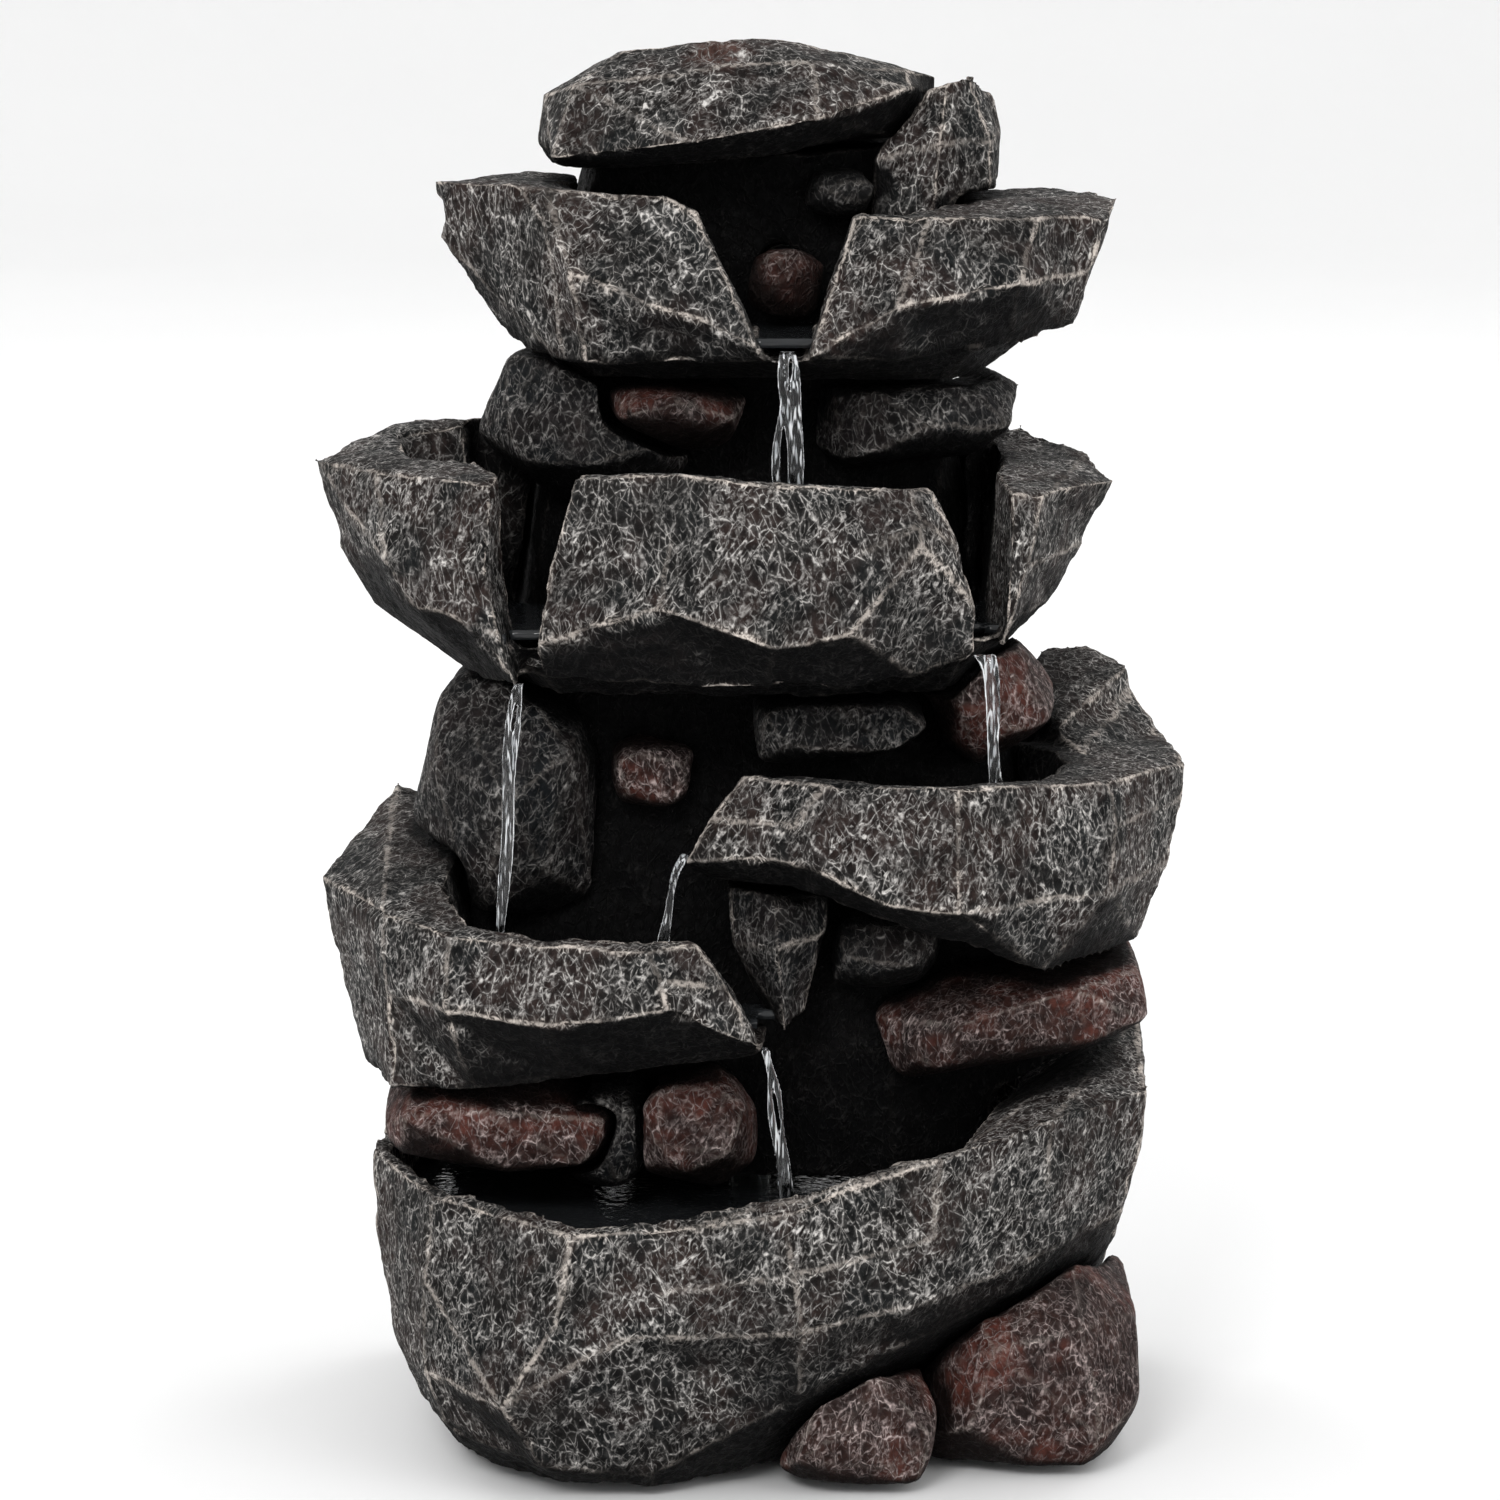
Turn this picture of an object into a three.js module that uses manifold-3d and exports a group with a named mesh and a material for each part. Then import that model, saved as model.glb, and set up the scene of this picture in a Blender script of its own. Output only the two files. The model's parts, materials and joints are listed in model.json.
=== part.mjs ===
// A tabletop water fountain: a stack of cast rock-look resin pieces round a hollow column.
// A pump stands in the well at the back of the lowest basin and lifts water through a hose to the
// top bowl. The water then falls from bowl to bowl, back into the lowest basin.
//
// Millimetres, +Z up, origin on the ground under the middle of the object. -Y is the front.
import * as THREE from 'three';
import { ConvexGeometry } from 'three/addons/geometries/ConvexGeometry.js';
import { LoftGeometry } from 'three/addons/geometries/LoftGeometry.js';
import { RoundedBoxGeometry } from 'three/addons/geometries/RoundedBoxGeometry.js';
import { mergeVertices } from 'three/addons/utils/BufferGeometryUtils.js';
import Module from 'manifold-3d';

const wasm = await Module();
wasm.setup();

// ---------------------------------------------------------------- driving dimensions
const WALL = 6; // thickness of the cast resin walls
const GAP = 0.3; // least space left between two bonded pieces
const SEAM = 0.6; // how far a cutter is grown, which leaves at least GAP at its corners too
const MERGE = 1e-3; // vertices closer than this are one vertex
const SQUARENESS = 0.72; // shape of a boulder: 1 is an ellipsoid, smaller is nearer to a box

const PAD_HEIGHT = 2; // rubber pads under the lowest basin
const PAD_RADIUS = 8;
const WELL_FLOOR = 12; // inside floor of the lowest basin

// The doorway behind the pump, and how far its cover laps over the edge.
const DOOR = { halfWidth: 36, low: 106, high: 182, back: 90, lap: 5, plate: 4.2 };
const GROMMET = { bore: 2.6, neck: 4.2, flange: 6 };
const OUTLET = { x: 9, z: 334, bore: 4, wall: 1.5 }; // where the water comes out at the top

// The pump stands on the middle line, and its motor axis lies along Y.
const PUMP = { front: 22, axisZ: 36, width: 42, depth: 40, height: 38 };
const ROTOR = { radius: 6.5, length: 20, shaft: 1, shaftBore: 1.2, impeller: 9, blades: 6 };
const DIAL = { shaft: 2, knob: 6 };
const HOSE = { bore: 4.2, outside: 6 };

// ---------------------------------------------------------------- materials
const paint = (color, roughness, metalness = 0) =>
  new THREE.MeshStandardMaterial({ color, roughness, metalness });
const GREY_STONE = paint(0x3a3a3c, 0.85);
const RED_STONE = paint(0x4a302b, 0.85);
const DARK_STONE = paint(0x242427, 0.88);
const BLACK_PLASTIC = paint(0x16171a, 0.5);
const BLACK_RUBBER = paint(0x101010, 0.9);
const FERRITE = paint(0x2b2b2e, 0.6, 0.2);
const CERAMIC = paint(0xe8e6e0, 0.3);
const CLEAR_VINYL = paint(0xcfd8da, 0.25);
const COPPER = paint(0xb06a3a, 0.4, 1);
const WHITE_PLASTIC = paint(0xd8dadb, 0.45);

// ---------------------------------------------------------------- solids
const vector = ([x, y, z]) => new THREE.Vector3(x, y, z);
const degrees = THREE.MathUtils.degToRad;

// A closed indexed triangle mesh as a manifold solid.
const indexedSolid = (geometry) =>
  new wasm.Manifold(
    new wasm.Mesh({
      numProp: 3,
      vertProperties: geometry.attributes.position.array,
      triVerts: new Uint32Array(geometry.index.array),
    }),
  );

// A closed three.js geometry as a manifold solid, with its seams joined.
function solid(geometry) {
  geometry.deleteAttribute('normal');
  geometry.deleteAttribute('uv');
  return indexedSolid(mergeVertices(geometry, MERGE));
}

// A manifold solid as a three.js geometry.
function geometryOf(made) {
  const { vertProperties, triVerts } = made.getMesh();
  const geometry = new THREE.BufferGeometry();
  geometry.setAttribute('position', new THREE.BufferAttribute(new Float32Array(vertProperties), 3));
  geometry.setIndex(new THREE.BufferAttribute(new Uint32Array(triVerts), 1));
  return geometry;
}

const joined = (...solids) => solids.reduce((sum, next) => sum.add(next));

// Cuts the cutters out of a solid and keeps its largest body, so that no crumb is left behind.
function cut(body, ...cutters) {
  const left = cutters.reduce((rest, cutter) => rest.subtract(cutter), body);
  const bodies = left.decompose();
  return bodies.reduce((best, next) => (next.volume() > best.volume() ? next : best));
}

// The solid swept a little each way along X, Y and Z: a cutter that leaves a seam round it.
function seamed(body) {
  const steps = [[SEAM, 0, 0], [0, SEAM, 0], [0, 0, SEAM]];
  return steps.reduce(
    (sum, step) => joined(sum, body.translate(step), body.translate(step.map((value) => -value))),
    body,
  );
}

// A faceted block through rings of corners. Rings go from the bottom up. Each is listed from the
// back left corner down the left side, along the front and up the right side.
function block(...rings) {
  const sections = rings.map((ring) => ring.map(vector));
  const loft = new LoftGeometry(sections, { capStart: true, capEnd: true });
  return solid(new THREE.BufferGeometry().copy(loft));
}

// A ring with its corners drawn in towards its middle, and lifted.
function inset(ring, by, lift = 0) {
  const middle = ring.map(vector).reduce((sum, p) => sum.add(p)).divideScalar(ring.length);
  return ring.map(([x, y, z]) => {
    const reach = Math.hypot(x - middle.x, y - middle.y);
    const share = 1 - by / reach;
    return [middle.x + (x - middle.x) * share, middle.y + (y - middle.y) * share, z + lift];
  });
}

const level = (ring, z) => ring.map(([x, y]) => [x, y, z]);

// A chiselled stone: the smallest convex solid that holds the corners.
const chiselled = (...corners) => solid(new ConvexGeometry(corners.map(vector)));

// A chipped boulder: the convex hull of points spread over a rounded box, some of them pushed in.
// Seed picks the pattern of chips, size holds the half lengths, and turn is in degrees.
function boulder({ at, size, turn = [0, 0, 0], seed = 1, corners = 26 }) {
  const golden = Math.PI * (3 - Math.sqrt(5));
  const pose = new THREE.Matrix4().compose(
    vector(at),
    new THREE.Quaternion().setFromEuler(new THREE.Euler(...turn.map(degrees))),
    vector(size),
  );
  const points = [];
  for (let i = 0; i < corners; i++) {
    const height = 1 - (2 * i + 1) / corners;
    const angle = golden * i + seed;
    const chip = 0.9 + 0.1 * Math.sin(seed * 12.9 + i * 78.2);
    const across = Math.sqrt(1 - height * height);
    const onSphere = [across * Math.cos(angle), across * Math.sin(angle), height];
    const squared = onSphere.map((value) => Math.sign(value) * Math.abs(value) ** SQUARENESS);
    points.push(vector(squared).multiplyScalar(chip).applyMatrix4(pose));
  }
  return solid(new ConvexGeometry(points));
}

// A straight cylinder from one point to another.
function rod(from, to, radius, sides = 24, endRadius = radius) {
  const start = vector(from);
  const along = vector(to).sub(start);
  const geometry = new THREE.CylinderGeometry(endRadius, radius, along.length(), sides);
  geometry.translate(0, along.length() / 2, 0);
  const up = new THREE.Vector3(0, 1, 0);
  geometry.applyQuaternion(new THREE.Quaternion().setFromUnitVectors(up, along.normalize()));
  geometry.translate(start.x, start.y, start.z);
  return solid(geometry);
}

const box = ([x0, y0, z0], [x1, y1, z1]) =>
  solid(
    new THREE.BoxGeometry(x1 - x0, y1 - y0, z1 - z0).translate(
      (x0 + x1) / 2,
      (y0 + y1) / 2,
      (z0 + z1) / 2,
    ),
  );

const fountain = new THREE.Group();

function place(name, body, material) {
  const mesh = new THREE.Mesh(geometryOf(body), material);
  mesh.name = name;
  fountain.add(mesh);
}

// Cutters of the stones laid so far. Each stone is shaped to fit those laid before it.
const laid = [];

function overlaps(one, other) {
  const a = one.boundingBox();
  const b = other.boundingBox();
  return [0, 1, 2].every((axis) => a.min[axis] < b.max[axis] && b.min[axis] < a.max[axis]);
}

// Lays a stone. Later stones stay out of its envelope, which is the stone and a seam unless given.
function lay(name, body, material, envelope) {
  const stone = cut(body, ...laid.filter((cutter) => overlaps(body, cutter)));
  laid.push(envelope ?? seamed(stone));
  place(name, stone, material);
}

// ---------------------------------------------------------------- lowest basin
const basinFoot = [
  [-90, 90, PAD_HEIGHT], [-86, -26, PAD_HEIGHT], [-72, -56, PAD_HEIGHT], [-50, -72, PAD_HEIGHT],
  [-27, -76, PAD_HEIGHT], [-4, -62, PAD_HEIGHT], [14, -44, PAD_HEIGHT], [32, -14, PAD_HEIGHT],
  [58, 14, PAD_HEIGHT], [82, 34, PAD_HEIGHT], [88, 90, PAD_HEIGHT], [0, 92, PAD_HEIGHT],
];
const basinHeel = [
  [-96, 93, 20], [-98, -27, 22], [-86, -58, 14], [-58, -82, 10],
  [-27, -80, 7], [13, -80, 28], [45, -71, 43], [77, -52, 54],
  [100, -27, 60], [104, 30, 40], [98, 93, 30], [0, 95, 30],
];
const basinRidge = [
  [-98, 93, 36], [-103, -27, 36], [-92, -60, 32], [-69, -89, 29],
  [-36, -95, 50], [15, -91, 51], [50, -77, 56], [82, -56, 64],
  [107, -28, 70], [110, 30, 72], [99, 93, 50], [0, 95, 50],
];
const basinBelly = [
  [-98, 93, 62], [-107, -27, 66], [-92, -63, 60], [-54, -93, 55],
  [-24, -95, 64], [12, -95, 68], [52, -82, 76], [84, -62, 84],
  [112, -30, 90], [113, 28, 94], [100, 93, 70], [0, 95, 66],
];
const basinRim = [
  [-96, 92, 96], [-108, -26, 89], [-89, -62, 84], [-50, -91, 80],
  [-21, -94, 82], [10, -94, 86], [52, -85, 100], [84, -67, 108],
  [113, -33, 108], [114, 22, 118], [100, 92, 98], [0, 94, 90],
];
const basinHollow = block(
  level(inset(basinFoot, WALL + 3), WELL_FLOOR),
  inset(basinHeel, WALL + 4, 6),
  inset(basinBelly, WALL + 2),
  inset(basinRim, WALL + 1),
  inset(basinRim, WALL, 30),
);
const basinOutside = block(basinFoot, basinHeel, basinRidge, basinBelly, basinRim);
// Land at the right end of the basin, which rises towards the back.
const basinShoulder = chiselled(
  [110, -30, 92], [82, -60, 92], [56, -79, 90], [62, -62, 90], [90, -10, 92], [88, 60, 92],
  [99, 80, 92], [112, -32, 107], [83, -64, 106], [55, -82, 100], [60, -66, 97],
  [82, -45, 105], [98, -20, 109], [108, 4, 114], [112, 20, 118], [90, 60, 104], [99, 84, 104],
);
lay('lower_basin', joined(cut(basinOutside, basinHollow), basinShoulder), GREY_STONE);

// ---------------------------------------------------------------- hollow column
const columnRings = [
  [[-97, 88, 84], [-101, 30, 84], [-96, -8, 84], [-60, -14, 80], [-20, -20, 77],
    [40, -22, 77], [84, -12, 86], [104, 16, 106], [100, 84, 104],
    [50, DOOR.back, 88], [-50, DOOR.back, 88]],
  [[-96, 86, 112], [-101, 30, 112], [-92, -14, 112], [-60, -22, 114], [-18, -24, 116],
    [40, -26, 116], [84, -16, 122], [102, 16, 126], [98, 82, 126],
    [50, DOOR.back, 112], [-50, DOOR.back, 112]],
  [[-90, 84, 160], [-95, 32, 160], [-88, -6, 160], [-56, -12, 162], [-16, -16, 164],
    [40, -16, 162], [78, -10, 160], [96, 18, 160], [92, 80, 160],
    [50, DOOR.back, 160], [-50, DOOR.back, 160]],
  [[-80, 82, 204], [-88, 36, 204], [-82, 2, 204], [-50, -8, 204], [-14, -10, 206],
    [36, -10, 206], [68, -4, 204], [84, 22, 204], [82, 76, 204],
    [46, DOOR.back, 200], [-46, DOOR.back, 200]],
  [[-62, 74, 230], [-70, 42, 230], [-64, 10, 230], [-42, 0, 230], [-12, -2, 232],
    [34, -2, 232], [58, 4, 230], [68, 26, 230], [66, 68, 230], [36, 80, 228], [-36, 80, 228]],
  [[-58, 70, 286], [-62, 40, 286], [-56, 12, 286], [-38, 6, 286], [-10, 4, 286],
    [32, 4, 286], [54, 10, 286], [60, 28, 286], [58, 64, 286], [34, 74, 286], [-34, 74, 286]],
  [[-54, 62, 330], [-58, 38, 330], [-52, 14, 330], [-34, 8, 330], [-8, 7, 330],
    [30, 7, 330], [52, 12, 330], [58, 28, 330], [56, 58, 330], [30, 66, 330], [-32, 66, 330]],
  [[-46, 52, 364], [-48, 34, 364], [-44, 14, 364], [-30, 9, 364], [-8, 8, 366],
    [26, 8, 368], [44, 12, 370], [50, 28, 370], [48, 50, 368], [26, 56, 366], [-26, 56, 364]],
];
const columnOutside = block(...columnRings);
const columnHollow = block(
  inset(columnRings[0], WALL, -20),
  ...columnRings.slice(0, -1).map((ring) => inset(ring, WALL)),
  inset(columnRings.at(-1), WALL, -12),
);
const doorway = box(
  [-DOOR.halfWidth, DOOR.back - 4 * WALL, DOOR.low],
  [DOOR.halfWidth, DOOR.back + WALL, DOOR.high],
);
const outletHole = rod(
  [OUTLET.x, -20, OUTLET.z],
  [OUTLET.x, 30, OUTLET.z],
  OUTLET.bore + OUTLET.wall + GAP,
);
lay(
  'column_shell',
  cut(columnOutside, columnHollow, doorway, outletHole),
  DARK_STONE,
  seamed(columnOutside),
);

// ---------------------------------------------------------------- left basin
const leftRings = [
  [[-98, 26, 108], [-110, -8, 108], [-101, -47, 109], [-77, -62, 112], [-53, -68, 118],
    [-20, -70, 121], [2, -72, 124], [4, -44, 122], [-14, 2, 112]],
  [[-106, 28, 136], [-117, -5, 132], [-102, -53, 138], [-84, -76, 138], [-55, -87, 136],
    [-22, -90, 141], [4, -80, 128], [6, -48, 130], [-14, 2, 140]],
  [[-108, 33, 168], [-121, -5, 150], [-103, -52, 150], [-84, -74, 150], [-57, -83, 149],
    [-24, -88, 150], [-5, -82, 146], [-3, -48, 146], [-16, 2, 152]],
  [[-103, 35, 184], [-123, -5, 163], [-103, -50, 162], [-83, -72, 160], [-58, -81, 159],
    [-28, -85, 158], [-14, -81, 159], [-9, -50, 158], [-18, 2, 162]],
];
// Open at the right end, where the water leaves.
const leftHollow = block(
  [[-70, 14, 122], [-74, -12, 122], [-74, -40, 122], [-68, -54, 123], [-54, -64, 125],
    [-24, -70, 129], [12, -70, 130], [14, -46, 130], [-14, 4, 126]],
  [[-74, 14, 164], [-80, -12, 164], [-84, -38, 163], [-77, -62, 161], [-57, -74, 160],
    [-28, -78, 159], [12, -76, 158], [14, -50, 158], [-14, 4, 162]],
  [[-75, 14, 190], [-82, -12, 190], [-88, -38, 190], [-79, -63, 190], [-57, -74, 190],
    [-28, -78, 190], [12, -76, 190], [14, -50, 190], [-14, 4, 190]],
);
lay('left_basin', cut(block(...leftRings), leftHollow), GREY_STONE);

// ---------------------------------------------------------------- right basin
const rightRings = [
  [[0, 0, 164], [-14, -50, 170], [10, -60, 169], [36, -68, 161], [55, -70, 156],
    [81, -60, 145], [110, -16, 145], [108, 20, 147], [84, 38, 150]],
  [[-4, 0, 176], [-19, -62, 177], [6, -72, 180], [37, -81, 168], [57, -87, 167],
    [101, -55, 168], [120, -12, 168], [117, 27, 172], [98, 48, 172]],
  [[-2, 0, 190], [-12, -61, 190], [12, -74, 190], [42, -82, 188], [57, -86, 187],
    [102, -53, 186], [123, -11, 186], [119, 29, 188], [102, 50, 190]],
  [[0, 0, 203], [-2, -58, 202], [20, -73, 202], [50, -81, 203], [57, -83, 203],
    [100, -51, 199], [124, -10, 197], [120, 30, 199], [104, 50, 204]],
];
// Open at the left end, where the water leaves.
const rightHollow = block(
  [[-28, 2, 179], [-28, -52, 179], [2, -56, 180], [26, -62, 176], [54, -70, 174],
    [77, -46, 174], [84, -22, 174], [80, -6, 176], [66, 4, 178]],
  [[-28, 2, 230], [-28, -50, 230], [2, -54, 230], [24, -65, 230], [55, -74, 230],
    [84, -52, 230], [94, -28, 230], [92, -6, 230], [74, 4, 230]],
);
// Land at the right end of the basin: a low wedge against a higher block.
const rightLand = joined(
  chiselled(
    [84, 10, 188], [94, -9, 188], [112, -6, 188], [119, 30, 188], [112, 56, 188],
    [88, 2, 203], [94, -8, 200], [112, 40, 209], [118, 32, 202], [106, 54, 208],
  ),
  chiselled(
    [74, 58, 190], [74, 14, 190], [88, 0, 190], [112, 40, 190], [110, 56, 190],
    [76, 30, 216], [88, 0, 205], [111, 40, 217], [84, 46, 221], [98, 52, 221], [108, 54, 216],
  ),
);
lay('right_basin', joined(cut(block(...rightRings), rightHollow), rightLand), GREY_STONE);

// ---------------------------------------------------------------- middle bowl
const middleLeftSlab = block(
  [[-72, 30, 222], [-83, -2, 223], [-79, -22, 223], [-72, -38, 223], [-63.5, -60, 225],
    [-60, -35, 226], [-58, 24, 224]],
  [[-92, 34, 236], [-107, 0, 240], [-94, -44, 245], [-82, -54, 244], [-68, -62, 240],
    [-62, -34, 240], [-58, 26, 240]],
  [[-98, 34, 256], [-117, 0, 256], [-102, -40, 258], [-87, -51, 258], [-72, -60, 258],
    [-64, -34, 258], [-60, 28, 258]],
  [[-104, 24, 290], [-124, -2, 282], [-105, -31, 283], [-87, -45, 283], [-70, -56, 282],
    [-67, -32, 284], [-64, 30, 292]],
);
const middleFrontSlab = block(
  [[-44, -20, 226], [-57, -58, 227], [-26, -62, 226], [4, -63, 225],
    [28, -62, 225], [46, -60, 228], [63, -56, 234], [54, -20, 230]],
  [[-46, -20, 240], [-60, -66, 238], [-25, -78, 250], [6, -80, 239],
    [28, -80, 243], [47, -73, 267], [63, -60, 247], [56, -20, 246]],
  [[-44, -20, 266], [-55, -66, 262], [-22, -76, 268], [8, -79, 264],
    [30, -78, 266], [47, -72, 273], [58, -62, 266], [52, -20, 266]],
  [[-40, -20, 284], [-48, -62, 285], [-19, -71, 287], [10, -73, 284],
    [28, -70, 284], [44, -67, 283], [51, -60, 281], [46, -20, 281]],
);
const middleRightSlab = block(
  [[58, 24, 232], [69, -50, 234], [71, -46, 235], [75, -16, 234], [72, 22, 232], [64, 30, 232]],
  [[58, 26, 241], [70, -51, 241], [73, -48, 241], [86, -2, 241], [82, 24, 241], [70, 34, 241]],
  [[60, 28, 257], [71, -52, 257], [78, -47, 257], [95, 0, 257], [90, 26, 257], [74, 38, 257]],
  [[62, 32, 285], [71, -50, 279], [82, -43, 278], [104, -2, 276], [97, 24, 282], [78, 40, 287]],
);
const middlePan = block(
  [[-60, 30, 218], [-66, 0, 218], [-54, -30, 218], [0, -38, 218],
    [54, -30, 219], [64, 0, 219], [60, 30, 219]],
  [[-72, 32, 236], [-84, -6, 236], [-66, -52, 236], [0, -62, 236],
    [66, -48, 238], [82, -6, 238], [76, 34, 238]],
);
const middleHollow = block(
  [[-68, 26, 230], [-74, -8, 230], [-62, -44, 230], [0, -54, 230],
    [60, -42, 231], [66, -8, 231], [64, 26, 231]],
  [[-76, 26, 262], [-80, -6, 262], [-66, -48, 262], [0, -64, 262],
    [62, -46, 262], [69, -6, 262], [68, 26, 262]],
  [[-80, 26, 300], [-84, -6, 300], [-68, -42, 300], [0, -62, 300],
    [64, -42, 300], [71, -4, 300], [70, 26, 300]],
);
// A shallow pocket in the land at the left end.
const middlePocket = chiselled(
  [-96, 8, 276], [-94, -12, 275], [-78, -24, 274], [-76, 14, 275],
  [-99, 14, 300], [-98, -16, 300], [-76, -30, 300], [-74, 20, 300],
);
const middleSlabs = joined(middleLeftSlab, middleFrontSlab, middleRightSlab, middlePan);
lay('middle_bowl', cut(middleSlabs, middleHollow, middlePocket), GREY_STONE);

// ---------------------------------------------------------------- top bowl
const topLeftSlab = block(
  [[-56, 30, 312], [-68, -6, 314], [-52, -34, 311], [-46, -38, 311], [-34, -40, 311],
    [-14, -44, 312], [3, -48, 313], [5, -16, 312], [-10, 28, 312]],
  [[-70, 32, 338], [-88, 4, 343], [-57, -38, 351], [-50, -46, 339], [-31, -50, 332],
    [-12, -51, 325], [4, -52, 317], [4, -16, 320], [-14, 28, 335]],
  [[-64, 31, 361], [-90, 4, 360], [-65, -28, 362], [-56, -31, 361], [-40, -33, 360],
    [-23, -34, 359], [-14, -36, 355], [-10, -12, 354], [-28, 28, 358]],
);
const topRightSlab = block(
  [[16, 28, 312], [15, -16, 312], [16, -45, 312], [42, -41, 313], [72, -26, 314], [92, -10, 320],
    [91, 12, 318], [76, 34, 314]],
  [[20, 28, 330], [16, -16, 318], [15, -52, 315], [40, -52, 329], [75, -41, 335], [96, -14, 335],
    [99, 14, 336], [86, 38, 336]],
  [[34, 28, 355], [26, -12, 352], [28, -37, 354], [50, -39, 354], [80, -28, 353], [102, -10, 351],
    [105, 15, 355], [88, 40, 356]],
);
const topPan = block(
  [[-44, 28, 304], [-50, 0, 304], [-36, -16, 305], [8, -22, 306],
    [54, -16, 305], [64, 0, 304], [60, 28, 304]],
  [[-56, 30, 316], [-66, 0, 316], [-46, -36, 316], [8, -48, 314],
    [64, -32, 316], [80, 0, 316], [74, 30, 316]],
);
const topHollow = block(
  [[-40, 26, 322], [-44, -2, 322], [-30, -30, 322], [9, -40, 320],
    [40, -30, 322], [52, -2, 322], [50, 26, 322]],
  [[-46, 26, 346], [-52, 0, 346], [-38, -30, 346], [9, -36, 340],
    [42, -30, 346], [58, -2, 346], [56, 26, 346]],
  [[-48, 26, 370], [-56, 0, 370], [-42, -25, 370], [9, -26, 370],
    [44, -28, 370], [62, -2, 370], [58, 26, 370]],
);
lay('top_bowl', cut(joined(topLeftSlab, topRightSlab, topPan), topHollow), GREY_STONE);

// ---------------------------------------------------------------- stones on the column
const capRock = block(
  [[-46, 58, 361], [-56, 14, 362], [-53, -12, 363], [-24, -20, 364],
    [12, -16, 368], [36, 0, 372], [46, 30, 368], [42, 60, 362]],
  [[-54, 62, 374], [-61, 4, 370], [-56, -20, 367], [-15, -35, 373],
    [19, -30, 379], [46, -4, 386], [54, 30, 382], [44, 62, 376]],
  [[-50, 58, 384], [-59, 6, 384], [-50, -10, 388], [-12, -16, 393],
    [18, -12, 395], [44, 6, 391], [54, 26, 388], [42, 58, 384]],
  [[-34, 48, 392], [-44, 12, 393], [-36, 4, 397], [-10, 2, 400],
    [8, 4, 400], [24, 8, 397], [40, 26, 391], [30, 48, 390]],
);
lay('cap_rock', capRock, GREY_STONE);

const capSideRock = block(
  [[34, 44, 346], [33, 0, 347], [51, -9, 349], [68, 4, 350], [71, 22, 349], [64, 46, 346]],
  [[34, 48, 368], [34, 0, 366], [53, -7, 371], [69, 4, 370], [72, 24, 373], [66, 48, 370]],
  [[40, 42, 380], [44, 6, 384], [55, 0, 388], [62, 8, 391], [69, 22, 384], [60, 42, 381]],
);
lay('cap_side_rock', capSideRock, GREY_STONE);

const pointedRock = block(
  [[6, -18, 126], [4, -44, 128], [10, -54, 127], [16, -42, 130], [16, -18, 132]],
  [[-4, -16, 152], [-6, -44, 150], [8, -58, 152], [22, -46, 154], [24, -16, 154]],
  [[-8, -16, 172], [-8, -38, 172], [6, -48, 174], [22, -42, 172], [26, -16, 172]],
);
lay('lower_pointed_rock', pointedRock, DARK_STONE);

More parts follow.
